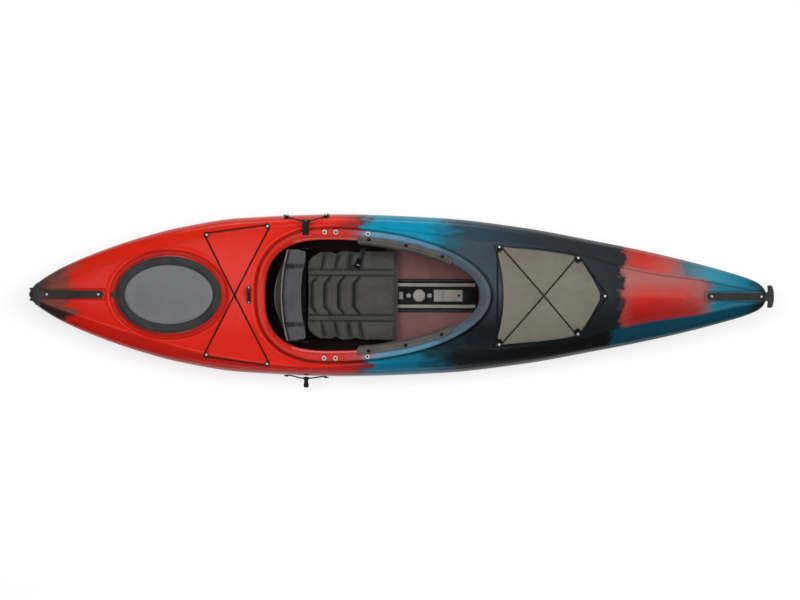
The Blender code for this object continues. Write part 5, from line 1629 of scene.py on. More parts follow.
@dataclass
class CarryHandle:
    """A strap along the deck with a cross bar at the boat's end, and two screws."""

    lines: HullLines
    end: str
    sign: int
    start: float
    stop: float
    grip: float
    grip_half: float
    screws: Point
    width: float = 0.031
    tip_width: float = 0.035
    thick: float = 0.004
    gap: float = 0.0009
    grip_width: float = 0.099
    grip_thick: float = 0.022
    grip_bend: float = 0.01
    pivot_height: float = 0.27421
    horns: bool = False

    def build(self) -> None:
        """Makes the strap, its screws and the grip."""
        half_length = self.lines.half_length
        start, stop = (self.sign * (half_length - d) for d in (self.start, self.stop))

        def strap_place(u: float, v: float) -> Vector:
            """A point of the strap, with a bead along each edge.

            Args:
                u: its share of the way over the rows.
                v: its share of the way round or across them.

            Returns:
                The point.
            """
            x = start + (stop - start) * (1 - cos(pi / 2 * u))
            inward = min(abs(x - start) / (self.width / 2), 1.0)
            half = (self.width + (self.tip_width - self.width) * u) / 2
            half *= sqrt(max(1 - (1 - inward) ** 2, 0.02))
            across, up = squared(v, 0.35, 0.5)
            bead = 0.0007 * bump(abs(across) - 0.82, 0.12) if up > 0 else 0.0
            z = self.lines.deck_height(x, 0.0) + self.gap + self.thick / 2 * (1 + up) + bead
            return Vector((x, across * half, z))

        strap = lay(90, 32, strap_place, Closed.AROUND)
        add_piece(self.end + "_strap", strap, STRAP_RUBBER, "hull",
                  (self.end + "_handle_strap",), 60)
        for label, distance in zip(("inner", "outer"), self.screws):
            x = self.sign * (half_length - distance)
            foot = Vector((x, 0, self.lines.deck_height(x, 0.0) + self.gap + self.thick))
            screw = turned(((0.0, 0.0014), (0.0016, 0.0013), (0.0022, 0.0026), (0.004, 0.0022),
                            (0.0052, 0.0008), (0.0054, 0.0)), 22)
            add_piece(f"{self.end}_strap_screw_{label}", screw, STEEL, "hull",
                      (f"{self.end}_handle_screw_{label}",),
                      matrix=standing(foot, self.lines.deck_normal(x, 0.0)))
        self.build_grip(stop)

    def build_grip(self, stop: float) -> None:
        """Makes the cross bar and the tongue that it hangs on.

        Args:
            stop: where the strap ends.
        """
        low = self.lines.deck_height(stop, 0.0) + self.gap
        pivot = Vector((stop + self.sign * (self.thick / 2 + 0.0003), 0, low + self.thick / 2))
        centre = Vector((self.sign * (self.lines.half_length - self.grip), 0,
                         low + self.grip_thick / 2))
        fullness = ((-1.0, 0.02), (-0.985, 0.42), (-0.95, 0.66), (-0.88, 0.86), (-0.4, 1.0),
                    (0.0, 0.96), (0.4, 1.0), (0.88, 0.86), (0.95, 0.66), (0.985, 0.42), (1.0, 0.02))

        def grip_place(u: float, v: float) -> Vector:
            """A point of the cross bar.

            Args:
                u: its share of the way over the rows.
                v: its share of the way round or across them.

            Returns:
                The point.
            """
            share = sin(pi / 2 * (2 * u - 1))
            full = straight(fullness, share)
            out, up = squared(v, 0.75, 0.7)
            ribs = 1 - 0.05 * bump(sin(share * 13.0), 0.5) * (abs(share) < 0.8)
            half = self.grip_half * (1 - 0.5 * self.grip_bend / self.grip_half)
            bend = self.sign * self.grip_bend * (0.5 - share ** 2)
            if self.horns:
                half *= 0.62
                bend = self.sign * (self.grip_bend * (0.2 - share ** 2) - 0.006)
            return centre + Vector((bend + out * half * full * ribs * 0.98,
                                    share * self.grip_width / 2,
                                    up * self.grip_thick / 2 * full * ribs * 0.98))

        body = self.end + "_grip"
        if self.horns:
            for side in Side:
                self.build_horn(side, centre, body)
        grip = lay(64, 28, grip_place, Closed.AROUND)
        add_piece(self.end + "_cross_bar", grip, RUBBER, body,
                  (self.end + "_handle_grip",), 70)

        def tongue_place(u: float, v: float) -> Vector:
            """A point of the tongue, which starts at the pivot.

            Args:
                u: its share of the way over the rows.
                v: its share of the way round or across them.

            Returns:
                The point.
            """
            x = pivot.x + self.sign * self.thick * 0.3 + (centre.x - pivot.x) * (u * 0.8)
            across, up = squared(v, 0.35, 0.5)
            half = 0.015 + (0.004 if self.horns else 0.01) * u
            middle = self.pivot_height + 0.45 * (centre.z - self.pivot_height) * u
            return Vector((x, across * half, middle + up * (0.0009 + 0.003 * u)))

        tongue = lay(8, 24, tongue_place, Closed.AROUND)
        add_piece(self.end + "_grip_tongue", tongue, RUBBER, body)

    def build_horn(self, side: Side, centre: Vector, body: str) -> None:
        """Makes one of the grip's two horns, which hook past the hull's tip.

        Args:
            side: which one.
            centre: the grip's middle.
            body: the body that it moves with.
        """
        root, tip = self.grip_half * 0.2, self.grip_half * 0.97

        def place(u: float, v: float) -> Vector:
            """A point of the horn.

            Args:
                u: its share of the way over the rows.
                v: its share of the way round or across them.

            Returns:
                The point.
            """
            reach = root + (tip - root) * u
            angle = 2 * pi * v
            full = sqrt(max(0.0, 1 - (max(u - 0.5, 0.0) / 0.5) ** 2)) * (1 - 0.35 * u)
            y = side.value * (0.02 + 0.004 * u) + 0.0085 * cos(angle) * full
            return centre + Vector((self.sign * reach, y, 0.0065 * sin(angle) * full))

        add_piece(f"{self.end}_grip_horn_{side.label}", lay(16, 18, place, Closed.AROUND), RUBBER,
                  body)


@dataclass
class SecurityBar:
    """The arched bar behind the cockpit, on two screwed feet."""

    lines: HullLines
    x: float = -0.644
    half: float = 0.04
    leg: float = 0.022
    flange: float = 0.004
    width: float = 0.018
    waist: float = 0.011
    rise: float = 0.012
    thick: float = 0.007

    def build(self) -> None:
        """Makes the bar and its two screws."""
        foot = max(self.lines.deck_height(self.x + s * self.width / 2, self.leg) for s in (-1, 1))
        foot += 0.0004
        top = self.lines.deck_height(self.x, 0.0) + self.rise + self.thick

        def place(u: float, v: float) -> Vector:
            """A point of the bar.

            Args:
                u: its share of the way over the rows.
                v: its share of the way round or across them.

            Returns:
                The point.
            """
            y = self.half * (2 * u - 1)
            arch = eased(self.leg + 0.006, self.leg - 0.008, abs(y))
            high = foot + self.flange + (top - foot - self.flange) * arch
            low = foot + (top - self.thick - foot) * eased(self.leg, self.leg - 0.01, abs(y))
            end = sqrt(max(0.02, 1 - (max(abs(y) - self.half + 0.008, 0.0) / 0.008) ** 2))
            half = (self.width + (self.waist - self.width) * eased(0.026, 0.012, abs(y))) / 2 * end
            out, up = squared(v, 0.5, 0.5)
            return Vector((self.x + out * half, y, (high + low) / 2 + up * (high - low) / 2))

        bar = lay(72, 28, place, Closed.AROUND)
        add_piece("security_bar_arch", bar, BLACK_NYLON, "hull", ("security_bar",), 60)
        for side in Side:
            spot = Vector((self.x, side.value * 0.0325, foot + self.flange - 0.0004))
            screw = turned(((0.0, 0.001), (0.0014, 0.001), (0.002, 0.0022), (0.0034, 0.0018),
                            (0.0044, 0.0004), (0.0044, 0.0)), 18)
            add_piece("security_bar_screw_" + side.label, screw, STEEL, "hull",
                      matrix=Matrix.Translation(spot))


@dataclass
class DeckFitting:
    """A small cleat for shock cord: a pointed foot, a neck under a domed cap, and a bright screw."""

    foot: float = 0.011
    neck: float = 0.005
    cap: float = 0.0104

    def build(self, name: str, node: str, matrix: Matrix) -> None:
        """Makes one fitting and its screw.

        Args:
            name: the fitting's name.
            node: the CAD node that it stands for.
            matrix: stands it on its surface, with X looking the way that its foot points.
        """
        profile = ((0.0, 0.0136), (0.0052, 0.0136), (0.008, 0.013), (0.0096, 0.0118),
                   (self.cap, 0.0112), (0.0088, 0.0108), (0.006, 0.0102), (self.neck, 0.009),
                   (self.neck, 0.005), (0.0054, 0.0036), (0.008, 0.003), (0.01, 0.0024),
                   (self.foot, 0.0012), (self.foot, 0.0))

        def plan(angle: float) -> float:
            """The foot's outline, pointed on one side."""
            return 0.94 + 0.5 * max(0.0, cos(angle)) ** 3 - 0.1 * abs(sin(angle)) ** 2

        fitting = turned(profile, 36, plan)
        add_piece(name, fitting, BLACK_NYLON, "hull", (node,), 50, matrix)
        screw = turned(((0.0, 0.001), (0.0014, 0.001), (0.0022, 0.0022), (0.0042, 0.0017),
                        (0.0054, 0.0), (0.0054, -0.0006)), 20)
        add_piece(name + "_screw", screw, STEEL, "hull",
                  matrix=matrix @ Matrix.Translation((0, 0, 0.0136)))


@dataclass
class DeckRigging:
    """Fittings and shock cord behind the cockpit and on the foredeck."""

    lines: HullLines
    cord: float = 0.006
    neck: float = 0.005
    gap: float = 0.0006
    stern_aft: Point = (-0.829, 0.26)
    stern_fore: Point = (-0.565, 0.296)
    deck_aft: Point = (0.44, 0.2035)
    deck_fore: Point = (0.781, 0.157)
    deck_tip: Point = (0.895, 0.0)
    step: float = 0.012
    cross_gap: float = 0.0025
    cross_reach: float = 0.045

    def lace(self, posts: Sequence[Point], height: float, raised: int) -> list[Vector]:
        """The cord's route round a closed row of posts.

        Args:
            posts: the posts' places, in the order that the cord takes.
            height: the cord's height over the deck.
            raised: the run that crosses over another one.

        Returns:
            The points on the cord's centreline.
        """
        wrap = self.neck + self.gap + self.cord / 2
        count = len(posts)
        ways = [(Vector(posts[(i + 1) % count]) - Vector(posts[i])).normalized() for i in range(count)]
        flat: list[tuple[Vector, Optional[int]]] = []
        for i in range(count + 1):
            post = Vector(posts[i % count])
            come, leave = ways[(i - 1) % count], ways[i % count]
            turn = atan2(come.x * leave.y - come.y * leave.x, come.dot(leave))
            side = -1 if turn > 0 else 1
            start = Vector((-come.y, come.x)) * side
            shares = [s / 8 for s in range(9)]
            if i == 0:
                shares = [s for s in shares if s >= 0.5]
            if i == count:
                shares = [s for s in shares if s <= 0.5]
            arc = [post + Matrix.Rotation(turn * s, 2) @ start * wrap for s in shares]
            if flat:
                last, first = flat[-1][0], arc[0]
                runs = max(2, ceil((first - last).length / self.step))
                flat += [(last.lerp(first, r / runs), i - 1) for r in range(1, runs)]
            flat += [(point, None) for point in arc]
        first, second = Vector(posts[raised]), Vector(posts[(raised + 1) % count])
        crossing = first.lerp(second, abs(first.y) / (abs(first.y) + abs(second.y)))
        route = []
        for point, run in flat:
            lift = 0.0
            if run == raised:
                lift = (self.cord + self.cross_gap) * bump((point - crossing).length, self.cross_reach)
            foot = Vector((point.x, point.y, self.lines.deck_height(point.x, point.y)))
            route.append(foot + self.lines.deck_normal(point.x, point.y) * (height + lift))
        return route

    def stand(self, x: float, y: float) -> Matrix:
        """Stands a fitting on the deck with its foot pointing outboard.

        Args:
            x: the place along the boat.
            y: the place across it.

        Returns:
            The matrix.
        """
        normal = self.lines.deck_normal(x, y)
        away = Vector((0.25 * copysign(1, x), copysign(1.0, y) if abs(y) > 0.01 else 0.0, 0))
        if abs(y) <= 0.01:
            away = Vector((1, 0, 0))
        foot = Vector((x, y, self.lines.deck_height(x, y)))
        return standing(foot + normal * 0.0006, normal, away)

    def rig(self, deck: str, posts: dict[str, Point], height: float, raised: int) -> None:
        """Stands one set of fittings on the deck and laces its cord.

        Args:
            deck: the name of its part of the deck.
            posts: the fittings' places, in the order that the cord takes.
            height: the cord's height over the deck.
            raised: the run that crosses over another one.
        """
        for label, (x, y) in posts.items():
            DeckFitting().build(f"{deck}_cleat_{label}", f"{deck}_fitting_{label}", self.stand(x, y))
        route = self.lace(list(posts.values()), height, raised)
        add_piece(deck + "_bungee", swept(route, self.cord / 2), CORD, "hull",
                  (deck + "_shock_cord",))

    def build(self) -> None:
        """Makes both sets of fittings and their cords."""
        (ax, ay), (fx, fy) = self.stern_aft, self.stern_fore
        self.rig("stern", {"aft_port": (ax, ay), "fore_port": (fx, fy), "aft_starboard": (ax, -ay),
                           "fore_starboard": (fx, -fy)}, 0.0068, 3)
        (ax, ay), (fx, fy) = self.deck_aft, self.deck_fore
        self.rig("foredeck", {"fore_port": (fx, fy), "aft_starboard": (ax, -ay),
                              "aft_port": (ax, ay), "fore_starboard": (fx, -fy),
                              "tip": self.deck_tip}, 0.008, 2)


@dataclass
class ForedeckPad:
    """The thin cloth-faced foam pad on the foredeck."""

    lines: HullLines
    pad: PadLines
    posts: tuple[Point, ...] = ((0.44, 0.2035), (0.781, 0.157))
    notch: float = 0.016

    def build(self) -> None:
        """Makes the pad, with its edge rounded and cut away at the fittings."""
        def edge(u: float, side: float) -> Point:
            """The pad's edge at a share of its length, cut away round the fittings.

            Args:
                u: the share of its length.
                side: 1 to port and -1 to starboard.

            Returns:
                The point.
            """
            x = self.pad.aft + (self.pad.fore - self.pad.aft) * u
            half = self.pad.width(x)
            for px, py in self.posts:
                near = hypot(x - px, half - py)
                if near < self.notch * 1.6:
                    reach = sqrt(max(0.0, self.notch ** 2 - (x - px) ** 2))
                    half = min(half, py - reach) if reach > 0 else half
            return x, side * half

        def place(u: float, v: float) -> Vector:
            """A point of the pad, its top first and then its underside.

            Args:
                u: its share of the way over the rows.
                v: its share of the way round or across them.

            Returns:
                The point.
            """
            top = v <= 0.5
            s = 4 * v - 1 if top else 3 - 4 * v
            x, half = edge(u, 1.0)
            rim = max(abs(s), 1 - 14 * u, 1 - 14 * (1 - u))
            y = half * s
            x = max(x, self.pad.start(min(abs(y) / self.pad.aft_half, 1.0)) + 0.1 * (x - self.pad.aft))
            thick = self.pad.thick * sqrt(max(0.0, 1 - max(0.0, (rim - 0.97) / 0.03) ** 2))
            lift = 0.0012 + (thick if top else 0.0)
            return Vector((x, y, self.lines.deck_height(x, y) + lift))

        bm = lay(110, 120, place, Closed.AROUND)
        pad = add_piece("foredeck_mat", bm, PAD_FOAM, "hull", ("foredeck_pad",), 60)


@dataclass
class PaddleParks:
    """A hooked tab on shock cord at each side, for holding a paddle."""

    deck: BVHTree
    hull: BVHTree
    x: float = -0.3975
    spread: float = 0.085
    tab_width: float = 0.028
    pivots: dict = field(default_factory=lambda: {Side.PORT: (0.322, 0.309, 0.236),
                                                  Side.STARBOARD: (-0.362, 0.186, 0.16)})

    def build(self) -> None:
        """Makes the fittings and cords, and dresses the tabs."""
        for side in Side:
            y, z, post_z = self.pivots[side]
            tree = self.deck if side is Side.PORT else self.hull
            knots: list[Vector] = []
            for place, sign in (("aft", -1), ("fore", 1)):
                start = Vector((self.x + sign * self.spread, side.value, post_z))
                hit, normal, _, _ = tree.ray_cast(start, Vector((0, -side.value, 0)))
                normal = normal if normal.y * side.value > 0 else -normal
                seat = standing(hit + normal * 0.0006, normal, Vector((sign, 0, -0.3)))
                DeckFitting().build(f"park_cleat_{place}_{side.label}",
                                    f"park_fitting_{place}_{side.label}", seat)
                mouth = Vector((self.x + sign * self.tab_width / 2, y, z))
                outside = mouth + Vector((sign * 0.006, 0, 0))
                toward = seat.inverted() @ mouth
                toward.z = 0.0
                toward.normalize()
                held = Vector((0, 0, 0.0068))
                run = [seat @ (toward * 0.0056 + held), seat @ (toward * 0.016 + held), outside,
                       mouth]
                knots += run if sign < 0 else run[::-1]
            cord = swept(spline(knots, 8), 0.003)
            add_piece("park_bungee_" + side.label, cord, CORD, "hull",
                      ("park_cord_" + side.label,))
        self.build_tabs()

    def build_tabs(self) -> None:
        """Gives the port tab its boss, and makes the waisted starboard one."""
        dress(BLACK_NYLON, "park_tab_port")
        y, z, _ = self.pivots[Side.PORT]
        boss = turned(((0.0, 0.0018), (0.003, 0.0018), (0.005, 0.0012), (0.0056, 0.0)), 20)
        add_piece("park_boss_port", boss, GREY_NYLON, "tab_port",
                  matrix=Matrix.Translation((self.x, y, z + 0.0062)))
        y, z, _ = self.pivots[Side.STARBOARD]
        halves = ((0.0, 0.0015), (0.03, 0.012), (0.14, 0.0138), (0.24, 0.012), (0.36, 0.0085),
                  (0.6, 0.01), (0.84, 0.0118), (0.95, 0.0085), (1.0, 0.001))
        thicks = ((0.0, 0.001), (0.04, 0.005), (0.14, 0.0064), (0.26, 0.004), (0.36, 0.0022),
                  (0.6, 0.0026), (0.9, 0.003), (1.0, 0.0006))

        def place(u: float, v: float) -> Vector:
            """A point of the waisted tab."""
            out, up = squared(v, 0.6, 0.7)
            return Vector((self.x + out * smooth(halves, u), y + 0.0065 - 0.0485 * u,
                           z + up * smooth(thicks, u)))

        add_piece("park_hook_starboard", lay(40, 24, place, Closed.AROUND), BLACK_NYLON,
                  "tab_starboard", ("park_tab_starboard",), 60)


@dataclass
class FloorTrack:
    """Details on the seat track: oval holes, a round knob, clamp plates and a screw."""

    top: float = 0.0114
    disc: Curve = ((0.0, 0.0012), (0.008, 0.0012), (0.01, 0.0006), (0.01, 0.0))
    knob: Curve = (
        (0.0, 0.005), (0.018, 0.005), (0.025, 0.0044), (0.0272, 0.003), (0.0275, 0.0))

    def build(self) -> None:
        """Makes the plates and the knob, and dresses the tray, rails and block."""
        dress(BLACK_NYLON, "track_tray")
        dress(PALE_ACETAL, "seat_rail_port", "seat_rail_starboard", "track_block")
        for name, x, profile, sides in (("track_oval_aft", 0.049, self.disc, 28),
                                        ("track_oval_fore", 0.141, self.disc, 28),
                                        ("track_round_knob", 0.095, self.knob, 40)):
            add_piece(name, turned(profile, sides), PALE_ACETAL, "hull",
                      matrix=Matrix.Translation((x, 0, self.top)))
        for name, low, high, finish in (
                ("stop", (0.293, -0.024, self.top), (0.35, 0.024, 0.0205), BLACK_NYLON),
                ("bridge_aft", (0.1985, -0.03, 0.019), (0.201, 0.03, 0.0204), BLACK_NYLON),
                ("bridge_fore", (0.2855, -0.03, 0.019), (0.2885, 0.03, 0.0204), BLACK_NYLON),
                ("slider", (0.006, -0.016, self.top), (0.024, 0.016, 0.015), PALE_ACETAL),
                ("edge_port", (-0.02, 0.066, 0.0112), (0.35, 0.0684, 0.0124), GREY_NYLON),
                ("edge_starboard", (-0.02, -0.0684, 0.0112), (0.35, -0.066, 0.0124), GREY_NYLON)):
            add_piece("track_" + name, boxed(low, high, 0.0005), finish, "hull")
        screw = turned(((0.0, 0.0008), (0.002, 0.0008), (0.003, 0.0024), (0.0052, 0.0018),
                        (0.006, 0.0)), 22)
        add_piece("track_screw", screw, DARK_STEEL, "hull",
                  matrix=Matrix.Translation((0.2706, 0, 0.0197)))


def puff(piece: Piece, voxel: float, pressure: float, cap: float) -> None:
    """Blows a closed cover up as cloth over its padding, and keeps the result.

    Args:
        piece: the cover, which is remeshed.
        voxel: the size of its new faces.
        pressure: how hard it is blown up.
        cap: the furthest that a point may move.
    """
    scene = bpy.context.scene
    remesh = piece.modifiers.new("Remesh", "REMESH")
    remesh.mode = "VOXEL"
    remesh.voxel_size = voxel
    graph = bpy.context.evaluated_depsgraph_get()
    mesh = bpy.data.meshes.new_from_object(piece.evaluated_get(graph))
    piece.modifiers.clear()
    piece.data = mesh
    rest = [v.co.copy() for v in mesh.vertices]
    cloth = piece.modifiers.new("Cloth", "CLOTH")
    cloth.settings.use_pressure = True
    cloth.settings.uniform_pressure_force = pressure
    cloth.settings.effector_weights.gravity = 0.0
    cloth.settings.quality = 5
    for number in range(1, 21):
        scene.frame_set(number)
    graph = bpy.context.evaluated_depsgraph_get()
    moved = bpy.data.meshes.new_from_object(piece.evaluated_get(graph))
    piece.modifiers.clear()
    for vert, start, end in zip(mesh.vertices, rest, moved.vertices):
        step = end.co - start
        vert.co = start + step * min(1.0, cap / max(step.length, 1e-9))
    bpy.data.meshes.remove(moved)
    scene.frame_set(1)


def upholster(pad: Piece, finish: Finish, press: Callable[[bmesh.types.BMVert], float]) -> None:
    """Refines a blown-up cover, presses it and gives it its cloth.

    Args:
        pad: the cover.
        finish: its cloth.
        press: moves one of its points, and returns how deep that lies in a seam.
    """
    bm = bmesh.new()
    bm.from_mesh(pad.data)
    bmesh.ops.subdivide_edges(bm, edges=bm.edges[:], cuts=1, use_grid_fill=True, smooth=0.6)
    bm.normal_update()
    # How deep each point lies in a seam, kept for the cloth's painted shade and highlight
    recess = bm.verts.layers.float.new("recess")
    for vert in bm.verts:
        vert[recess] = press(vert)
    bm.to_mesh(pad.data)
    bm.free()
    pad.data.shade_smooth()
    pad.data.materials.clear()
    pad.data.materials.append(finish.material())


@dataclass
class SeatSeams:
    """The sewn lines of the seat cover, seen from above."""

    channel_y: Point = (0.0865, 0.1125)
    chevrons: tuple[float, ...] = (-0.348, -0.288, -0.229, -0.163)
    chevron_bend: float = 0.028
    chevron_slant: float = 0.036
    side_lines: tuple[float, ...] = (-0.33, -0.272, -0.217, -0.166)
    side_slant: float = 0.16
    front: float = -0.008
    depth: float = 0.014
    width: float = 0.01
    roll: float = 0.4

    def sink(self, x: float, y: float) -> float:
        """How far the stitching pulls the cover in at a place, as a share of its depth.

        Args:
            x: the place along the boat.
            y: the place across it.

        Returns:
            The share, less than 0 where the padding swells beside a seam.
        """
        side = abs(y)
        inner, outer = self.channel_y
        lines = [(0.55, (x - self.front) / 0.8)]
        lines += [(0.8 * eased(0.0, -0.03, x), (side - line) / 0.6) for line in self.channel_y]
        if side < inner + 0.003:
            bend = self.chevron_bend * min(1.0, max(0.0, inner - side) / self.chevron_slant)
            lines += [(1.0, x - line + bend) for line in self.chevrons]
        if side > outer - 0.003:
            lines += [(0.85, x - line - self.side_slant * (side - outer)) for line in self.side_lines]
        pulled = max(deep * bump(gap, self.width) for deep, gap in lines)
        rolled = max(deep * bump(abs(gap) - 2.0 * self.width, 0.8 * self.width) for deep, gap in lines)
        return pulled - self.roll * rolled * (1 - pulled)


@dataclass
class Seat:
    """The padded seat: a sewn cover over foam, with its front rolled over."""

    aft: float = -0.398
    fore: float = 0.012
    half: float = 0.206
    low: float = 0.0508
    front_thick: float = 0.044
    rear_rise: float = 0.092
    wing: float = 0.014
    taper: float = 0.16
    taper_start: float = 0.35
    rise_share: float = 0.52
    hollow: float = 0.02
    shrink: float = 0.004
    seams: SeatSeams = field(default_factory=SeatSeams)

    def shape(self, u: float, v: float) -> Vector:
        """A point of the plain pad: u runs forward, v round its section.

        Args:
            u: the share of the way along it.
            v: the share of the way round it.

        Returns:
            The point.
        """
        s = 4 * v - 1 if v <= 0.5 else 3 - 4 * v
        t = 0.5 - 0.5 * cos(pi * u)
        length, half = self.fore - self.aft - 2 * self.shrink, self.half - self.shrink
        corner = (1 - (2 * t - 1) ** 8) ** 0.5
        lobes = 1 - 0.055 * bump(t - 0.3, 0.04) - 0.045 * bump(t - 0.53, 0.03)
        narrow = 1 - self.taper * max(0.0, self.taper_start - t) - 0.16 * max(0.0, 1 - t / 0.16) ** 2
        y = half * s * narrow * lobes * (0.88 + 0.12 * corner)
        x = self.aft + self.shrink + length * t
        rear = max(0.0, 1 - t / self.rise_share)
        rise = self.rear_rise * rear ** 1.5
        floor = self.low + max(0.0, rise - self.hollow) + self.wing / 2 * s * s
        top = self.low + self.front_thick + rise + self.wing * s * s
        middle, body = (floor + top) / 2, (top - floor) / 2 - self.shrink * 0.6
        edge = (max(0.0, 1 - abs(s) ** 5) * max(0.0, 1 - abs(2 * t - 1) ** 7)) ** 0.5
        return Vector((x, y, middle + (body if v <= 0.5 else -body) * edge))

    def press(self, vert: bmesh.types.BMVert) -> float:
        """Pulls a point of the cover in along the seams, and wrinkles it.

        Args:
            vert: the point.

        Returns:
            How deep it lies in a seam, from 0 to 1, which paints shade there; less than 0 beside a
            seam, which paints a highlight on the swelling padding.
        """
        up = max(0.0, vert.normal.z)
        pulled = self.seams.sink(vert.co.x, vert.co.y) * min(1.0, up * 1.5) if up > 0.1 else 0.0
        vert.co -= vert.normal * self.seams.depth * pulled
        wrinkle = noise.noise(vert.co * 38.0) * 0.0009 + noise.noise(vert.co * 90.0) * 0.0004
        vert.co += vert.normal * wrinkle
        vert.co.z = max(vert.co.z, self.low)
        # The swelling beside a seam keeps a weaker share, for a painted highlight
        return pulled if pulled > 0 else 0.35 * pulled

    def build(self) -> None:
        """Makes the pad, its piping, its straps and the buckle."""
        bm = lay(60, 80, self.shape, Closed.AROUND)
        pad = add_piece("seat_pad", bm, SEAT_CLOTH, "seat", ("seat_cushion",), 180)
        puff(pad, 0.006, 4.0, 0.007)
        upholster(pad, SEAT_CLOTH, self.press)
        cover = surface_of(pad)
        self.build_buckle(cover)
        self.build_piping(cover)

    def build_buckle(self, cover: BVHTree) -> None:
        """Makes the strap over the port side, with its buckle and bright bar.

        Args:
            cover: the cushion's surface.
        """
        def over(x: float, y: float, lift: float) -> tuple[Vector, Vector]:
            """The place over the cushion at a point of its plan, and the cushion's way out there."""
            hit, normal, _, _ = cover.ray_cast(Vector((x, y, 0.4)), Vector((0, 0, -1)))
            return hit + normal * lift, normal

        line = [(-0.205, 0.118), (-0.19, 0.128), (-0.172, 0.142), (-0.162, 0.156), (-0.156, 0.168)]
        knots = [over(x, y, 0.0016) for x, y in line]
        last = knots[-1][0]
        knots.append((Vector((-0.153, 0.196, last.z - 0.012)), Vector((0, 0.8, 0.6))))
        knots.append((Vector((-0.152, 0.2045, last.z - 0.034)), Vector((0, 1, 0.1))))
        path = spline([point for point, _ in knots], 5)
        ups = [knots[min(round(i / 5), len(knots) - 1)][1] for i in range(len(path))]
        add_piece("seat_strap", ribbon(path, ups, 0.02, 0.0016), WEBBING, "seat",
                  sharp=70)
        middle, normal = over(-0.176, 0.139, 0.0036)
        way = Vector((0.35, 0.93, 0.0))
        frame = standing(middle, normal, way)
        block = boxed((-0.022, -0.014, -0.0022), (0.022, 0.014, 0.0032), 0.0016)
        add_piece("seat_buckle", block, BLACK_NYLON, "seat", matrix=frame)
        bar = boxed((-0.007, -0.01, 0.003), (-0.0036, 0.01, 0.0044), 0.0005)
        add_piece("seat_buckle_bar", bar, STEEL, "seat", matrix=frame)

    def build_piping(self, cover: BVHTree) -> None:
        """Makes the reddish piping sewn across the front.

        Args:
            cover: the cushion's surface.
        """
        knots = []
        for step in range(-9, 10):
            start = Vector((0.1, 0.0198 * step, self.low + 0.026 + self.wing * (step / 10) ** 2))
            hit = cover.ray_cast(start, Vector((-1, 0, 0)))[0]
            knots.append(hit + Vector((0.0008, 0, 0)))
        add_piece("seat_piping", swept(spline(knots, 3), 0.0021, 12), SEAT_PIPING, "seat")


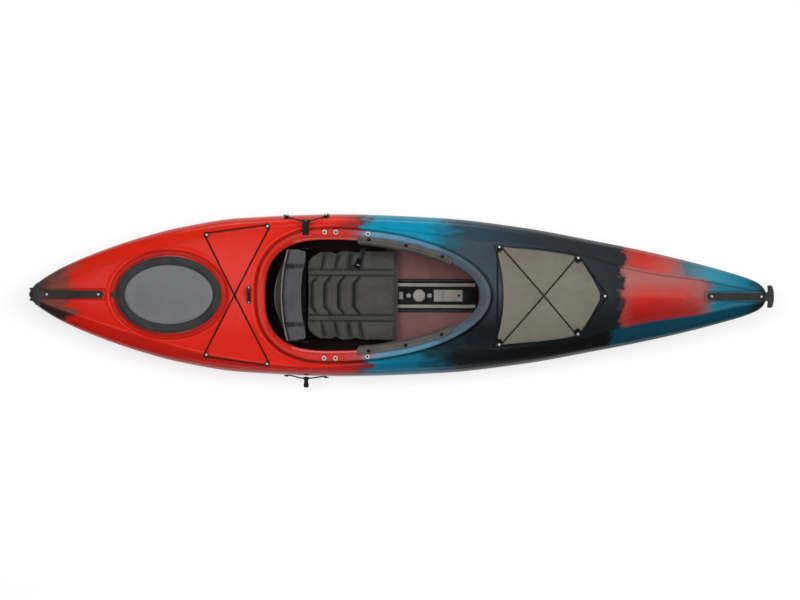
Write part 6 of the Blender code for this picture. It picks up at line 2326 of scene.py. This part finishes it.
@dataclass
class Backrest:
    """The padded band across the back, on its moulded shell."""

    bottom: float = 0.216
    top: float = 0.345
    front: float = -0.402
    lean: float = 0.062
    half: float = 0.2
    wrap: float = 0.028
    thick: float = 0.04
    shrink: float = 0.005
    shell_half: float = 0.199
    bulge: float = 0.048
    shell_thick: float = 0.008
    shell_wide: float = 0.55

    def face(self, s: float, t: float) -> Vector:
        """A point of the front: s runs across, t runs up."""
        z = self.bottom + (self.top - self.bottom) * t
        return Vector((self.front - self.lean * t + self.wrap * s * s, self.half * s, z))

    def shape(self, u: float, v: float) -> Vector:
        """A point of the plain pad: u runs across, v round its section.

        Args:
            u: the share of the way along it.
            v: the share of the way round it.

        Returns:
            The point.
        """
        s = sin(pi / 2 * (2 * u - 1)) * (1 - self.shrink / self.half)
        t = 2 * v if v <= 0.5 else 2 - 2 * v
        inner = 0.05 + 0.9 * t
        middle = self.face(s, inner) - Vector((self.thick / 2, 0, 0))
        edge = (max(0.0, 1 - abs(2 * t - 1) ** 5) * max(0.0, 1 - abs(s) ** 9)) ** 0.5
        body = (self.thick / 2 - self.shrink) * edge
        return middle + Vector((body if v <= 0.5 else -body, 0, 0))

    def press(self, vert: bmesh.types.BMVert) -> float:
        """Wrinkles a point of the cover, which has no seams.

        Args:
            vert: the point.

        Returns:
            0, as nothing pulls it in.
        """
        wrinkle = noise.noise(Vector((vert.co.x * 18, vert.co.y * 60, vert.co.z * 18)))
        fine = noise.noise(vert.co * 95.0)
        vert.co += vert.normal * (wrinkle * 0.0016 + fine * 0.0004)
        return 0.0

    def build(self) -> None:
        """Makes the pad, its piping and straps, and the shell."""
        bm = lay(70, 44, self.shape, Closed.AROUND)
        pad = add_piece("back_pad", bm, BACK_CLOTH, "backrest", ("backrest_cushion",),
                        180)
        puff(pad, 0.006, 4.0, 0.006)
        upholster(pad, BACK_CLOTH, self.press)

        def shell_place(u: float, v: float) -> Vector:
            """A point of the moulded shell, its front first and then its back.

            Args:
                u: its share of the way over the rows.
                v: its share of the way round or across them.

            Returns:
                The point.
            """
            wide = (2 * u - 1) * self.shell_half / self.half
            t = straight(((0.0, 0.06), (0.46, 0.8), (0.54, 0.8), (1.0, 0.06)), v)
            face = self.face(wide, t) + Vector((-self.thick - 0.0008, 0, 0))
            swell = max(0.0, cos(pi * self.shell_wide * (2 * u - 1)))
            out = self.shell_thick + self.bulge * swell * sin(pi * t)
            return face - Vector((out if v > 0.5 else 0.0, 0, 0))

        shell = lay(60, 40, shell_place, Closed.AROUND)
        add_piece("back_shell", shell, SHELL_CLOTH, "backrest", ("backrest_shell",),
                  50)
        rim = [self.face((2 * i / 48 - 1) * 0.985, 0.99) + Vector((-self.thick + 0.002, 0, 0.001))
               for i in range(49)]
        add_piece("back_piping", swept(rim, 0.003, 12), PIPING, "backrest")
        for side in Side:
            self.build_strap(side)

    def build_strap(self, side: Side) -> None:
        """Makes one webbing strap down over the band.

        Args:
            side: which one.
        """
        y = side.value * 0.126

        def place(u: float, v: float) -> Vector:
            """A point of the strap, up the band's back, over it and down its front.

            Args:
                u: its share of the way over the rows.
                v: its share of the way round or across them.

            Returns:
                The point.
            """
            across, up = squared(v, 0.35, 0.5)
            across, up = across * 0.0095, 0.5 + 0.5 * up
            s = (y + across) / self.half
            path = ((0.0, -0.04), (0.3, -0.0405), (0.45, -0.03), (0.6, -0.012), (0.75, 0.0015),
                    (1.0, 0.0025))
            t = straight(((0.0, 0.62), (0.3, 0.97), (0.45, 1.03), (0.6, 1.03), (0.75, 0.96),
                          (1.0, 0.3)), u)
            out = straight(path, u) + (0.0018 * up if u > 0.5 else -0.0018 * up)
            point = self.face(s, min(t, 1.04))
            return point + Vector((out, 0, 0.002 * up if 0.4 < u < 0.65 else 0.0))

        strap = lay(40, 16, place, Closed.AROUND, (0.2, 0.04))
        add_piece("back_strap_" + side.label, strap, WEBBING, "backrest", sharp=70)


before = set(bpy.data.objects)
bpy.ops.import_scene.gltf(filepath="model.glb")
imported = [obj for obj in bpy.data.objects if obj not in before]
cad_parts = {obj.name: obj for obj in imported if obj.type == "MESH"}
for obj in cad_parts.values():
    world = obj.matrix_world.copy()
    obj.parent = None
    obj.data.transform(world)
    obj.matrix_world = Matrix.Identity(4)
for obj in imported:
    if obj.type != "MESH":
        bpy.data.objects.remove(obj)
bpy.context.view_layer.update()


def main() -> None:
    """Builds the studio, then each sub-assembly in order."""
    logging.basicConfig(level=logging.INFO, format="%(name)s: %(message)s", stream=sys.stdout)
    lines, cockpit, hatch, pad = HullLines(), CockpitLines(), HatchLines(), PadLines()
    Studio().build()
    shell = Shell(lines, cockpit, hatch, pad)
    trees = [surface_of(piece) for piece in (shell.build_deck(), shell.build_hull())]
    shell.build_inside()
    Coaming(lines, cockpit).build()
    ThighBraces(cockpit).build()
    SternHatch(lines, hatch).build()
    CarryHandle(lines, "bow", 1, 0.265, 0.016, -0.0105, 0.0175, (0.2425, 0.026),
                grip_bend=0.007, pivot_height=0.31586).build()
    CarryHandle(lines, "stern", -1, 0.325, 0.068, 0.03, 0.027, (0.3025, 0.078), horns=True).build()
    SecurityBar(lines).build()
    DeckRigging(lines).build()
    ForedeckPad(lines, pad).build()
    PaddleParks(*trees).build()
    FloorTrack().build()
    Seat().build()
    Backrest().build()
    dress(COAMING, "hatch_rim")
    dress(BLACK_NYLON, "seat_base", "back_hinge_bar", "back_arm_port", "back_arm_starboard",
          "foot_rail_port", "foot_rail_starboard", "skeg_box", "skeg_blade", "skeg_slider_track",
          "skeg_cable")
    dress(GREY_NYLON, "foot_pedal_port", "foot_pedal_starboard", "skeg_slider_knob")
    dress(STEEL, "back_hinge_rod", "skeg_pin")
    dress(BULKHEAD_FOAM, "stern_bulkhead")


if __name__ == "__main__":
    main()
